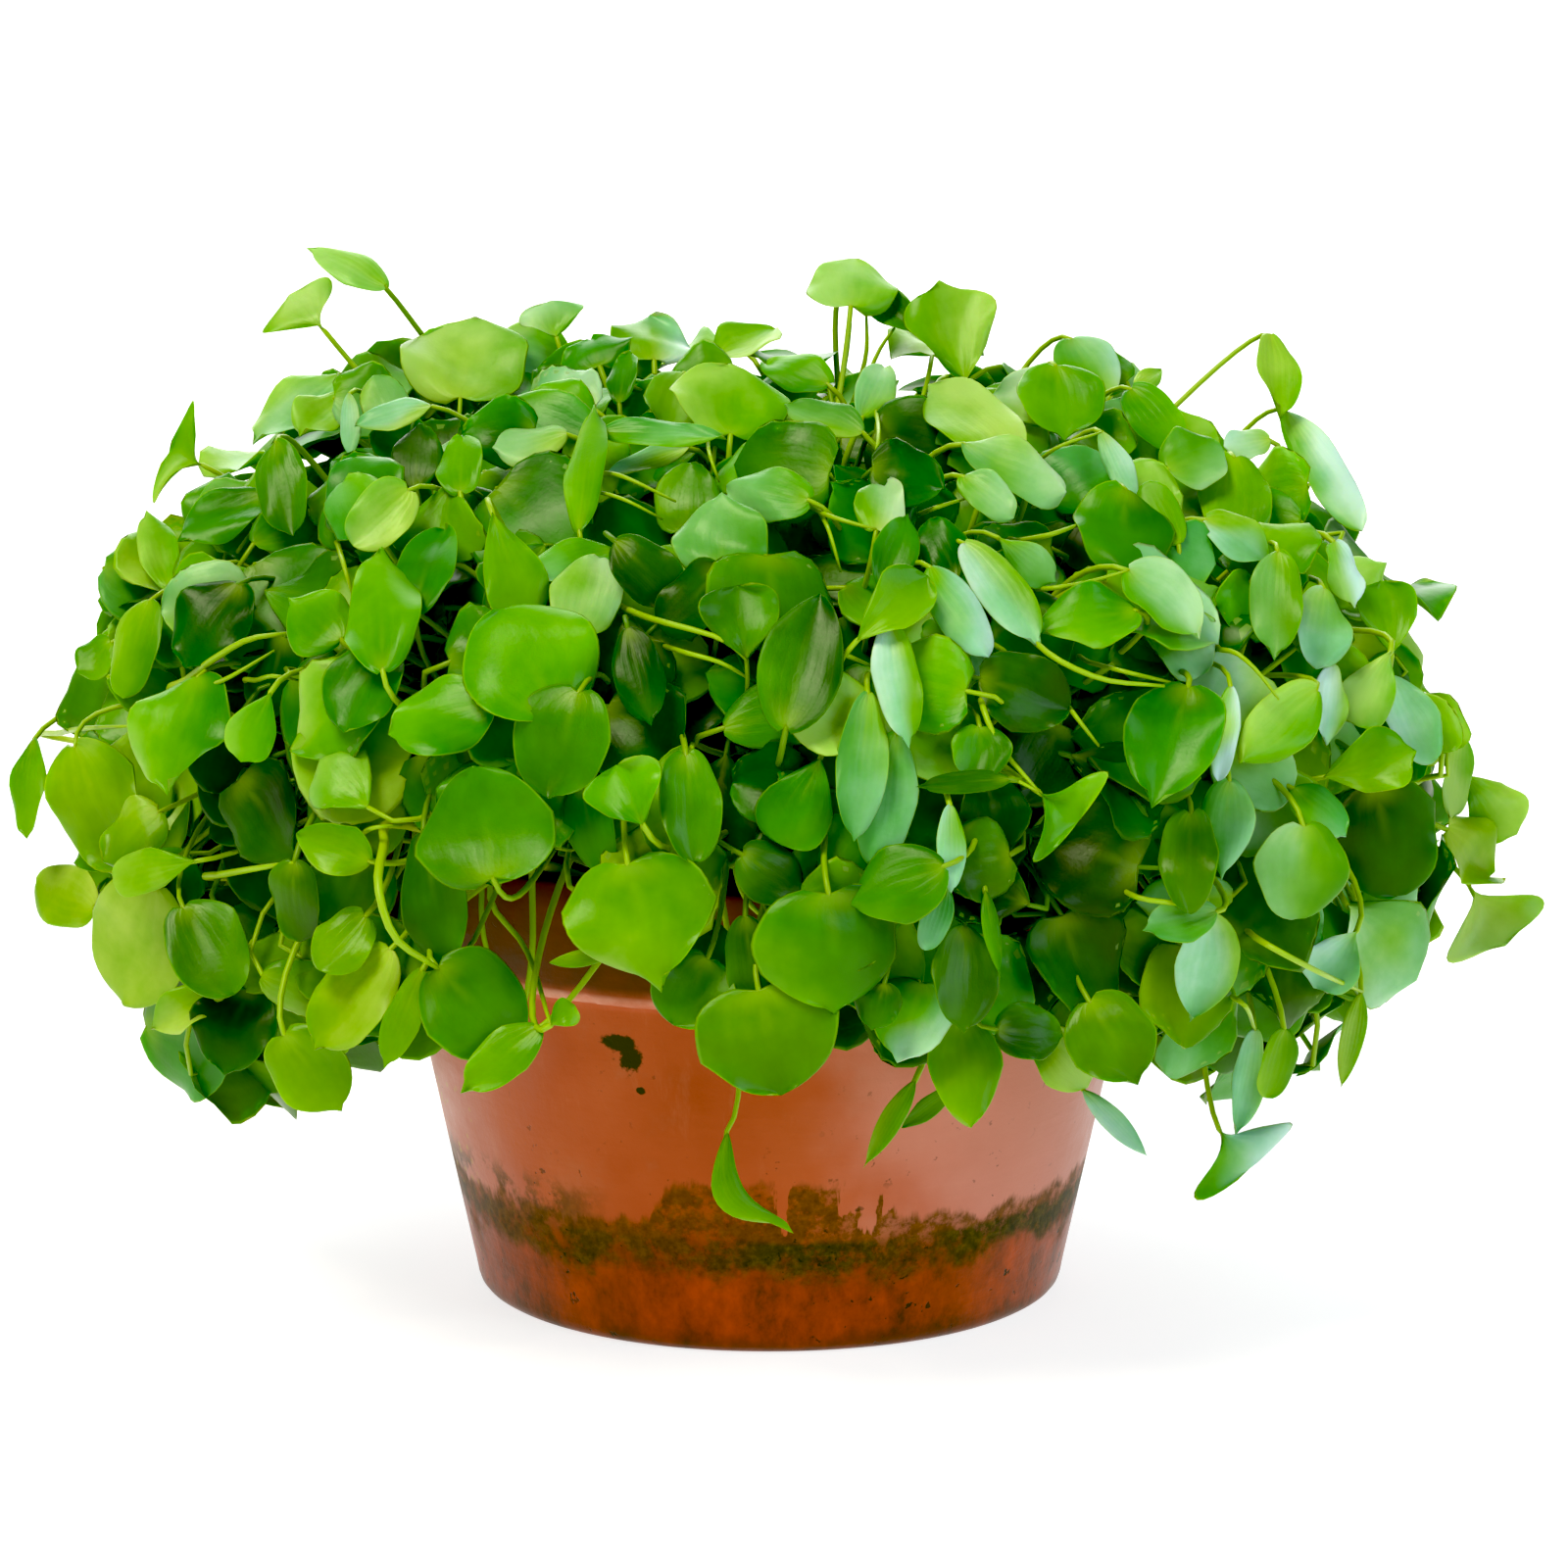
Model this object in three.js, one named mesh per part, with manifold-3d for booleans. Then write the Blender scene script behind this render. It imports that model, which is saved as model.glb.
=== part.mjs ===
// Miner's lettuce growing in a terracotta pan.
// Units are millimetres and +Z is up. The origin is on the ground, at the middle of the pot's base.
// +X is to the right in the photograph, and -Y points at the viewer.
import * as THREE from "three";
import Module from "manifold-3d";
import { mergeVertices } from "three/addons/utils/BufferGeometryUtils.js";

const wasm = await Module();
wasm.setup();
const { Manifold, Mesh } = wasm;

// Pot: a half-height pan with a flared collar round its rim
const POT = {
  height: 120,
  baseRadius: 70.6, // where the wall starts above the rounded corner
  wallSlope: 0.217, // growth of the radius for each millimetre of height
  cornerRadius: 4,
  collarStart: 89,
  collarOverhang: 3,
  rimRadius: 98.5,
  wallThickness: 7,
  floorThickness: 7,
  drainRadius: 7.5,
  sides: 44,
};
const GAP = 0.3; // between pieces that would touch

// Soil: fills the pot to under its rim
const SOIL = { top: 105, dome: 2, holeDepth: 11 };

// Plants: one in the middle and a ring of six round it
const PLANT = {
  ringRadius: 50,
  ringNames: ["right", "back_right", "back_left", "left", "front_left", "front_right"],
  crownRadius: 22,
  crownHeight: 30,
  plugRadius: 5.5,
  crownSides: 10,
  middleAbove: 0.9, // tangent of the elevation from which the middle plant carries the leaf
};

// Leaves: plates on three-sided petioles
const LEAF = {
  thickness: 0.8,
  petioleRadius: 1.15,
  rootRadius: 1.5,
  rootSink: 2.5, // how far a petiole's root is sunk in the crown
  clearance: 0.15, // kept round each leaf against other plants, the soil and the pot
};

// Mound: the rounded body of foliage that the outer leaves lie on
const MOUND = {
  middle: new THREE.Vector3(-3, 0, 118),
  width: 167,
  breadth: 157,
  height: 111,
  depth: 95,
  power: 2.5,
};

// Photograph: 1600 by 1600 pixels, taken from a little above with a long lens
const VIEW = {
  distance: 2600,
  elevation: THREE.MathUtils.degToRad(12.8),
  aim: new THREE.Vector3(3.4, 0, 123.85),
  pixelsPerMm: 4.2, // at the aim's distance
  centre: 800,
};

// Outlines of the blades. The half width runs as u^base * (1 - u)^tip along the blade: an exponent under
// 1 is blunt and one over 1 is drawn out. sweep turns the lobes back past the petiole. cup lowers the
// edges, and curl lowers the tip.
const KINDS = {
  round: { base: 0.42, tip: 0.46, sweep: 0.06, cup: 0.23, curl: 0.12 },
  kidney: { base: 0.34, tip: 0.54, sweep: 0.07, cup: 0.24, curl: 0.14 },
  oval: { base: 0.52, tip: 0.46, sweep: 0.02, cup: 0.24, curl: 0.1 },
  rhombic: { base: 0.56, tip: 0.72, sweep: 0.05, cup: 0.2, curl: 0.12 },
  fan: { base: 1.05, tip: 0.4, sweep: 0, cup: 0.2, curl: 0.08 },
  wing: { base: 1.9, tip: 0.5, sweep: -0.08, cup: 0.2, curl: 0.04 },
  lance: { base: 0.75, tip: 0.85, sweep: 0, cup: 0.24, curl: 0.06 },
};

// Leaves that the photograph shows, from the front ones to those behind them. base and tip are pixels of
// the photograph, wide is the blade's width in pixels, and deep is how many millimetres it lies behind the
// mound's face. ahead is how far in front of the pot's axis a hanging blade lies, where the mound doesn't
// settle it. bow bends a blade sideways, and via is a pixel that draws the petiole towards it.
const SEEN_LEAVES = [
  // Silhouette, from the left over the top to the right
  { kind: "rhombic", base: [393, 288], tip: [321, 244], wide: 36 },
  { kind: "wing", base: [332, 338], tip: [296, 300], wide: 90 },
  { kind: "wing", base: [206, 474], tip: [172, 462], wide: 108 },
  { kind: "oval", base: [175, 600], tip: [148, 522], wide: 42 },
  { kind: "oval", base: [25, 754], tip: [14, 848], wide: 34 },
  { kind: "round", base: [97, 925], tip: [24, 899], wide: 66 },
  { kind: "round", base: [470, 406], tip: [478, 320], wide: 132 },
  { kind: "fan", base: [568, 344], tip: [558, 309], wide: 68 },
  { kind: "kidney", base: [612, 374], tip: [600, 340], wide: 78 },
  { kind: "kidney", base: [668, 368], tip: [664, 313], wide: 90 },
  { kind: "round", base: [738, 362], tip: [791, 330], wide: 44 },
  { kind: "round", base: [746, 444], tip: [746, 370], wide: 118 },
  { kind: "kidney", base: [868, 313], tip: [872, 257], wide: 92 },
  { kind: "oval", base: [872, 284], tip: [935, 334], wide: 36 },
  { kind: "fan", base: [985, 389], tip: [962, 294], wide: 94 },
  { kind: "round", base: [1094, 345], tip: [1128, 403], wide: 62 },
  { kind: "round", base: [1155, 396], tip: [1202, 452], wide: 50 },
  { kind: "oval", base: [1297, 340], tip: [1309, 417], wide: 40, via: [1262, 330] },
  { kind: "round", base: [1192, 478], tip: [1249, 456], wide: 66 },
  { kind: "oval", base: [1314, 418], tip: [1388, 533], wide: 44 },
  { kind: "oval", base: [1362, 552], tip: [1384, 612], wide: 34 },
  { kind: "fan", base: [1420, 668], tip: [1412, 594], wide: 66 },
  { kind: "oval", base: [1418, 690], tip: [1462, 776], wide: 52 },
  { kind: "oval", base: [1494, 748], tip: [1484, 830], wide: 30 },
  { kind: "fan", base: [1496, 792], tip: [1550, 848], wide: 66 },
  { kind: "round", base: [1476, 846], tip: [1533, 893], wide: 54 },
  { kind: "wing", base: [1510, 903], tip: [1544, 962], wide: 118 },
  { kind: "lance", base: [1390, 1012], tip: [1370, 1106], wide: 26 },
  { kind: "wing", base: [1244, 1152], tip: [1276, 1194], wide: 124, ahead: 62, via: [1204, 1084] },
  { kind: "oval", base: [1281, 1051], tip: [1266, 1150], wide: 34, ahead: 66 },
  { kind: "lance", base: [1105, 1112], tip: [1169, 1178], wide: 24, ahead: 90 },
  { kind: "lance", base: [742, 1154], tip: [804, 1248], wide: 32, ahead: 116, bow: -0.3, via: [790, 1096] },
  { kind: "lance", base: [934, 1102], tip: [884, 1186], wide: 24, ahead: 118 },
  { kind: "lance", base: [976, 1106], tip: [920, 1153], wide: 22, ahead: 112 },
  { kind: "round", base: [290, 1056], tip: [343, 1132], wide: 80 },
  // Large blades on the face of the mound
  { kind: "kidney", base: [640, 884], tip: [668, 999], wide: 150 },
  { kind: "kidney", base: [846, 913], tip: [857, 1031], wide: 152 },
  { kind: "kidney", base: [774, 1012], tip: [798, 1119], wide: 150 },
  { kind: "kidney", base: [503, 896], tip: [480, 783], wide: 140 },
  { kind: "round", base: [566, 722], tip: [514, 615], wide: 140 },
  { kind: "round", base: [500, 716], tip: [398, 744], wide: 78, deep: 2 },
  { kind: "round", base: [590, 706], tip: [556, 810], wide: 98, deep: 4 },
  { kind: "round", base: [586, 640], tip: [612, 563], wide: 74 },
  { kind: "oval", base: [640, 640], tip: [662, 730], wide: 52, deep: 3 },
  { kind: "fan", base: [656, 842], tip: [628, 782], wide: 86 },
  { kind: "round", base: [700, 770], tip: [710, 878], wide: 64 },
  { kind: "oval", base: [430, 990], tip: [392, 1082], wide: 36 },
  { kind: "round", base: [446, 988], tip: [526, 1066], wide: 108, deep: 4 },
  { kind: "oval", base: [551, 1048], tip: [477, 1107], wide: 50 },
  { kind: "oval", base: [398, 968], tip: [320, 1062], wide: 78, deep: 3 },
  { kind: "round", base: [372, 935], tip: [326, 988], wide: 58, deep: 2 },
  { kind: "oval", base: [392, 684], tip: [386, 561], wide: 80 },
  { kind: "round", base: [424, 622], tip: [446, 530], wide: 62, deep: 4 },
  { kind: "round", base: [416, 500], tip: [360, 554], wide: 62 },
  { kind: "kidney", base: [736, 578], tip: [736, 505], wide: 100 },
  { kind: "round", base: [824, 510], tip: [740, 492], wide: 58, deep: 2 },
  { kind: "fan", base: [762, 674], tip: [752, 597], wide: 86, deep: 3 },
  { kind: "rhombic", base: [802, 742], tip: [836, 602], wide: 88 },
  { kind: "rhombic", base: [886, 738], tip: [800, 709], wide: 88, deep: 2 },
  { kind: "fan", base: [838, 772], tip: [798, 862], wide: 80, deep: 2 },
  { kind: "oval", base: [906, 635], tip: [925, 750], wide: 48 },
  { kind: "oval", base: [886, 707], tip: [876, 850], wide: 52, deep: 3 },
  { kind: "oval", base: [915, 748], tip: [896, 882], wide: 60 },
  { kind: "rhombic", base: [962, 884], tip: [869, 921], wide: 80 },
  { kind: "fan", base: [874, 654], tip: [946, 586], wide: 62, deep: -5 },
  { kind: "round", base: [894, 541], tip: [904, 483], wide: 52 },
  { kind: "oval", base: [592, 543], tip: [600, 410], wide: 40 },
  { kind: "oval", base: [950, 578], tip: [1009, 663], wide: 48 },
  { kind: "oval", base: [984, 553], tip: [1056, 645], wide: 50, deep: 2 },
  { kind: "oval", base: [1036, 466], tip: [951, 385], wide: 72 },
  { kind: "oval", base: [984, 452], tip: [1087, 497], wide: 50 },
  { kind: "round", base: [1214, 700], tip: [1178, 810], wide: 98 },
  { kind: "rhombic", base: [1236, 936], tip: [1225, 1041], wide: 66 },
  { kind: "round", base: [1330, 843], tip: [1329, 940], wide: 95 },
  { kind: "rhombic", base: [1256, 797], tip: [1250, 891], wide: 58 },
  { kind: "wing", base: [1060, 808], tip: [1098, 838], wide: 120 },
  { kind: "round", base: [1000, 692], tip: [1094, 722], wide: 80, deep: 6 },
  { kind: "fan", base: [1350, 793], tip: [1439, 768], wide: 68 },
  { kind: "rhombic", base: [1345, 704], tip: [1272, 774], wide: 66 },
  { kind: "oval", base: [1258, 700], tip: [1246, 795], wide: 28 },
  { kind: "oval", base: [1305, 562], tip: [1300, 660], wide: 56 },
  { kind: "oval", base: [1352, 600], tip: [1347, 677], wide: 60, deep: 2 },
  { kind: "fan", base: [1420, 664], tip: [1380, 738], wide: 60, deep: 2 },
  { kind: "rhombic", base: [1152, 582], tip: [1224, 643], wide: 64 },
  { kind: "rhombic", base: [1231, 530], tip: [1297, 568], wide: 44 },
  { kind: "round", base: [1262, 464], tip: [1262, 553], wide: 76, deep: 3 },
  { kind: "round", base: [1150, 498], tip: [1150, 578], wide: 98, deep: 5 },
  { kind: "round", base: [1158, 622], tip: [1064, 640], wide: 62, deep: 3 },
  { kind: "round", base: [1112, 1022], tip: [1158, 1099], wide: 90 },
  { kind: "oval", base: [985, 945], tip: [986, 1045], wide: 68 },
  { kind: "rhombic", base: [980, 1038], tip: [992, 1148], wide: 74, deep: 2 },
  { kind: "round", base: [200, 690], tip: [166, 798], wide: 94 },
  { kind: "round", base: [76, 762], tip: [122, 888], wide: 92, deep: 2 },
  { kind: "round", base: [158, 905], tip: [112, 1026], wide: 108, deep: 2 },
  { kind: "rhombic", base: [348, 652], tip: [298, 612], wide: 76 },
  { kind: "fan", base: [276, 706], tip: [246, 774], wide: 54 },
  { kind: "oval", base: [280, 450], tip: [295, 541], wide: 54 },
  { kind: "fan", base: [502, 522], tip: [538, 628], wide: 66 },
  // Smaller blades and those further in
  { kind: "round", base: [1078, 372], tip: [1086, 445], wide: 90, deep: 6 },
  { kind: "round", base: [844, 392], tip: [778, 364], wide: 42, deep: 4 },
  { kind: "lance", base: [1158, 398], tip: [1185, 375], wide: 24 },
  { kind: "oval", base: [1296, 448], tip: [1251, 453], wide: 32 },
  { kind: "oval", base: [632, 412], tip: [640, 358], wide: 30, deep: 6 },
  { kind: "oval", base: [345, 380], tip: [264, 441], wide: 52, deep: 4 },
  { kind: "lance", base: [441, 414], tip: [362, 430], wide: 30 },
  { kind: "lance", base: [355, 400], tip: [357, 464], wide: 22 },
  { kind: "oval", base: [350, 400], tip: [309, 441], wide: 46, deep: 3 },
  { kind: "lance", base: [612, 440], tip: [738, 443], wide: 30 },
  { kind: "lance", base: [702, 453], tip: [620, 478], wide: 24, deep: 3 },
  { kind: "oval", base: [578, 442], tip: [506, 452], wide: 42, deep: 3 },
  { kind: "round", base: [470, 502], tip: [470, 440], wide: 48, deep: 3 },
  { kind: "oval", base: [626, 560], tip: [538, 582], wide: 42, deep: 4 },
  { kind: "oval", base: [628, 552], tip: [692, 612], wide: 62, deep: 7 },
  { kind: "round", base: [734, 582], tip: [672, 642], wide: 62, deep: 7 },
  { kind: "oval", base: [900, 600], tip: [926, 528], wide: 46, deep: 4 },
  { kind: "oval", base: [976, 590], tip: [950, 528], wide: 52, deep: 7 },
  { kind: "round", base: [1000, 652], tip: [938, 640], wide: 46, deep: 7 },
  { kind: "fan", base: [1018, 548], tip: [1074, 590], wide: 42, deep: 4 },
  { kind: "round", base: [984, 486], tip: [1034, 525], wide: 42, deep: 4 },
  { kind: "oval", base: [880, 426], tip: [906, 368], wide: 42, deep: 5 },
  { kind: "oval", base: [880, 441], tip: [806, 408], wide: 38, deep: 4 },
  { kind: "oval", base: [1125, 440], tip: [1156, 501], wide: 28, deep: 2 },
  { kind: "oval", base: [267, 504], tip: [190, 545], wide: 54, deep: 4 },
  { kind: "round", base: [242, 596], tip: [186, 673], wide: 76, deep: 7 },
  { kind: "oval", base: [152, 612], tip: [120, 706], wide: 50, deep: 3 },
  { kind: "round", base: [113, 655], tip: [80, 683], wide: 40 },
  { kind: "round", base: [390, 662], tip: [350, 742], wide: 78, deep: 5 },
  { kind: "fan", base: [202, 878], tip: [112, 896], wide: 48 },
  { kind: "round", base: [162, 828], tip: [104, 872], wide: 62 },
  { kind: "rhombic", base: [226, 1010], tip: [152, 1047], wide: 46 },
  { kind: "round", base: [186, 926], tip: [240, 1012], wide: 82, deep: 3 },
  { kind: "round", base: [252, 1010], tip: [226, 1089], wide: 86, deep: 5 },
  { kind: "round", base: [300, 880], tip: [300, 962], wide: 54, deep: 5 },
  { kind: "rhombic", base: [376, 878], tip: [302, 851], wide: 54 },
  { kind: "oval", base: [432, 850], tip: [452, 986], wide: 66, deep: 10 },
  { kind: "round", base: [592, 800], tip: [612, 889], wide: 52, deep: 8 },
  { kind: "lance", base: [624, 974], tip: [560, 983], wide: 18, deep: 3 },
  { kind: "fan", base: [562, 1046], tip: [586, 1026], wide: 32, deep: 3 },
  { kind: "oval", base: [760, 935], tip: [770, 1029], wide: 50, deep: 9 },
  { kind: "round", base: [722, 978], tip: [688, 1046], wide: 84, deep: 8 },
  { kind: "round", base: [902, 1004], tip: [890, 1048], wide: 48, deep: 5 },
  { kind: "round", base: [758, 872], tip: [820, 912], wide: 62, deep: 10 },
  { kind: "oval", base: [1030, 795], tip: [945, 800], wide: 24, deep: 2 },
  { kind: "round", base: [1000, 742], tip: [1002, 795], wide: 62, deep: 4 },
  { kind: "oval", base: [970, 822], tip: [973, 905], wide: 30 },
  { kind: "oval", base: [966, 905], tip: [945, 968], wide: 32, deep: 3 },
  { kind: "lance", base: [1005, 908], tip: [1019, 991], wide: 18 },
  { kind: "round", base: [1018, 1050], tip: [1083, 1056], wide: 58, deep: 3 },
  { kind: "round", base: [1066, 1060], tip: [1112, 1109], wide: 58, deep: 3 },
  { kind: "round", base: [1216, 830], tip: [1210, 926], wide: 60, deep: 4 },
  { kind: "oval", base: [1242, 930], tip: [1174, 946], wide: 46, deep: 3 },
  { kind: "oval", base: [1320, 804], tip: [1372, 849], wide: 46, deep: 3 },
  { kind: "round", base: [1402, 800], tip: [1430, 918], wide: 112, deep: 7 },
  { kind: "oval", base: [1361, 678], tip: [1360, 753], wide: 38, deep: 3 },
  { kind: "fan", base: [1386, 950], tip: [1344, 1006], wide: 62, deep: 3 },
  { kind: "oval", base: [1311, 1050], tip: [1296, 1122], wide: 38, deep: 4 },
];

// Leaves of the sides, back and top, which are placed by a rule
const RULED = {
  count: 163,
  goldenAngle: Math.PI * (3 - Math.sqrt(5)),
  lowest: -0.42, // sine of the elevation of the lowest leaves
  highest: 0.97,
  seed: 41,
  lengths: [17, 30],
  frontFacing: 0.12, // leaves whose place faces the viewer more than this are seen ones already
  lean: 0.36, // how far the blades on the ridge turn towards the viewer, which fades down the back
  leanFade: 2.6,
  depths: [-6, 1], // how far the blades lie out of the mound's face
  sproutEvery: 5, // one leaf of so many stands out of the back, clear of the widest line and of the top
  sproutDepths: [5, 13],
  sproutFacing: 0.3,
  sproutWidest: 118,
  sproutSteepest: 0.75,
};
const RULED_KINDS = ["round", "kidney", "rhombic", "round", "oval", "fan", "round", "rhombic", "oval"];

// A leaf that would cross another is tried again with its petiole bent, and then a little further in
const INWARD = { steps: 9, by: 2.4 };
const BENDS = [
  { lift: 0, sway: 0 },
  { lift: 9, sway: 0 },
  { lift: 0, sway: 10 },
  { lift: 0, sway: -10 },
  { lift: 18, sway: 0 },
  { lift: 9, sway: 16 },
  { lift: 9, sway: -16 },
];
// Cubic millimetres that two leaves of one plant may share where they cross. A seen blade wider than
// LARGE pixels that finds no clear place may share the second amount.
const SHARED = [0.5, 14];
const LARGE = 36;

// Small vector helpers

const UP = new THREE.Vector3(0, 0, 1);

function mixed(...pairs) {
  const sum = new THREE.Vector3();
  for (const [vector, share] of pairs) sum.addScaledVector(vector, share);
  return sum;
}

// Numbers from low to high in a sequence that its seed settles
function makeDraw(seed) {
  let state = (seed * 7919 + 101) % 2147483647;
  const next = () => (state = (state * 16807) % 2147483647) / 2147483647;
  next();
  next();
  return (low, high) => low + (high - low) * next();
}

// Solids

function solidFromArrays(points, triangles) {
  const vertProperties = new Float32Array(points.flatMap((p) => [p.x, p.y, p.z]));
  const triVerts = new Uint32Array(triangles);
  return new Manifold(new Mesh({ numProp: 3, vertProperties, triVerts }));
}

function solidFromGeometry(geometry) {
  const plain = geometry.clone();
  plain.deleteAttribute("normal");
  plain.deleteAttribute("uv");
  const merged = mergeVertices(plain, 1e-4);
  const vertProperties = new Float32Array(merged.attributes.position.array);
  const triVerts = new Uint32Array(merged.index.array);
  return new Manifold(new Mesh({ numProp: 3, vertProperties, triVerts }));
}

// A body turned round an upright axis from [radius, height] pairs that run with the material on their left
function turned(profile, sides, axis = { x: 0, y: 0 }) {
  const lathe = new THREE.LatheGeometry(profile.map(([r, z]) => new THREE.Vector2(r, z)), sides);
  return solidFromGeometry(lathe.rotateX(Math.PI / 2).translate(axis.x, axis.y, 0));
}

function potRadius(height) {
  return POT.baseRadius + POT.wallSlope * height;
}

function makePot() {
  const corner = POT.cornerRadius;
  const innerRim = POT.rimRadius - POT.wallThickness + 0.5;
  const profile = [
    [POT.drainRadius, 0],
    [POT.baseRadius - corner * 0.9, 0],
    [POT.baseRadius - corner * 0.25, corner * 0.3],
    [potRadius(corner), corner],
    [potRadius(POT.collarStart), POT.collarStart],
    [potRadius(POT.collarStart) + POT.collarOverhang, POT.collarStart + 1.5],
    [POT.rimRadius, POT.height - 2],
    [POT.rimRadius - 1.5, POT.height],
    [innerRim + 1.5, POT.height],
    [innerRim, POT.height - 1.5],
    [innerWall(POT.floorThickness + 4), POT.floorThickness + 4],
    [innerWall(POT.floorThickness) - 4, POT.floorThickness],
    [POT.drainRadius, POT.floorThickness],
    [POT.drainRadius, 0],
  ];
  return turned(profile, POT.sides);
}

// Radius of the pot's inner wall, which runs straight from the rim down to the floor
function innerWall(height) {
  const top = POT.rimRadius - POT.wallThickness + 0.5;
  const bottom = POT.baseRadius - POT.wallThickness + 1;
  const rise = POT.height - 1.5 - POT.floorThickness;
  return bottom + ((top - bottom) * (height - POT.floorThickness)) / rise;
}

function crownPlaces() {
  const places = [{ name: "middle", x: 0, y: 0 }];
  PLANT.ringNames.forEach((name, i) => {
    const angle = (i * Math.PI) / 3;
    places.push({ name, x: PLANT.ringRadius * Math.cos(angle), y: PLANT.ringRadius * Math.sin(angle) });
  });
  return places;
}

function makeSoil() {
  const floor = POT.floorThickness + GAP;
  const profile = [
    [0, floor],
    [innerWall(POT.floorThickness) - 4 - GAP, floor],
    [innerWall(floor + 4) - GAP, floor + 4],
    [innerWall(SOIL.top - 2) - GAP, SOIL.top - 2],
    [innerWall(SOIL.top) - 3, SOIL.top],
    [0, SOIL.top + SOIL.dome],
  ];
  let soil = turned(profile, POT.sides);
  const holeRadius = PLANT.plugRadius + GAP;
  const cutterHeight = 40;
  const hole = new THREE.CylinderGeometry(holeRadius, holeRadius, cutterHeight, PLANT.crownSides);
  hole.rotateX(Math.PI / 2).translate(0, 0, SOIL.top - SOIL.holeDepth + cutterHeight / 2);
  for (const place of crownPlaces()) {
    soil = soil.subtract(solidFromGeometry(hole.clone().translate(place.x, place.y, 0)));
  }
  return soil;
}

// A plant's crown: a low dome on the soil, with a plug that stands in its hole
function makeCrown(place) {
  const bottom = SOIL.top - SOIL.holeDepth + GAP;
  const seat = SOIL.top + SOIL.dome + GAP;
  const profile = [
    [0, bottom],
    [PLANT.plugRadius, bottom],
    [PLANT.plugRadius, seat],
    [PLANT.crownRadius * 0.9, seat],
    [PLANT.crownRadius, seat + PLANT.crownHeight * 0.35],
    [PLANT.crownRadius * 0.7, seat + PLANT.crownHeight * 0.8],
    [0, seat + PLANT.crownHeight],
  ];
  return turned(profile, PLANT.crownSides, place);
}

// Where the photograph's pixels lie in space

const LOOK = new THREE.Vector3(0, Math.cos(VIEW.elevation), -Math.sin(VIEW.elevation));
const RIGHT = new THREE.Vector3(1, 0, 0);
const IMAGE_UP = new THREE.Vector3(0, Math.sin(VIEW.elevation), Math.cos(VIEW.elevation));
const EYE = mixed([VIEW.aim, 1], [LOOK, -VIEW.distance]);

function pixelRay([x, y]) {
  const focal = VIEW.pixelsPerMm * VIEW.distance;
  const across = (x - VIEW.centre) / focal;
  const up = (VIEW.centre - y) / focal;
  return mixed([LOOK, 1], [RIGHT, across], [IMAGE_UP, up]);
}

// Under 1 inside the mound, 1 on its face, over 1 outside
function moundLevel(point) {
  const across = (point.x - MOUND.middle.x) / MOUND.width;
  const along = (point.y - MOUND.middle.y) / MOUND.breadth;
  const rise = point.z - MOUND.middle.z;
  const up = Math.abs(rise) / (rise > 0 ? MOUND.height : MOUND.depth);
  return Math.hypot(across, along) ** MOUND.power + up ** MOUND.power;
}

function moundNormal(point) {
  const step = 0.01;
  const slope = (axis) => {
    const ahead = point.clone();
    const behind = point.clone();
    ahead[axis] += step;
    behind[axis] -= step;
    return moundLevel(ahead) - moundLevel(behind);
  };
  return new THREE.Vector3(slope("x"), slope("y"), slope("z")).normalize();
}

// First point of the mound's face on a ray from the eye, or the point of the ray that comes nearest to it
function onMound(ray) {
  const at = (t) => mixed([EYE, 1], [ray, t]);
  const reach = 200;
  const step = 4;
  let nearest = VIEW.distance;
  for (let t = VIEW.distance - reach; t <= VIEW.distance + reach; t += step) {
    if (moundLevel(at(t)) < 1) {
      let outside = t - step;
      let inside = t;
      for (let i = 0; i < 24; i += 1) {
        const middle = (outside + inside) / 2;
        if (moundLevel(at(middle)) < 1) inside = middle;
        else outside = middle;
      }
      return inside;
    }
    if (moundLevel(at(t)) < moundLevel(at(nearest))) nearest = t;
  }
  return nearest;
}

// Leaves, each described by its blade's base, axis, normal and size

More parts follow.
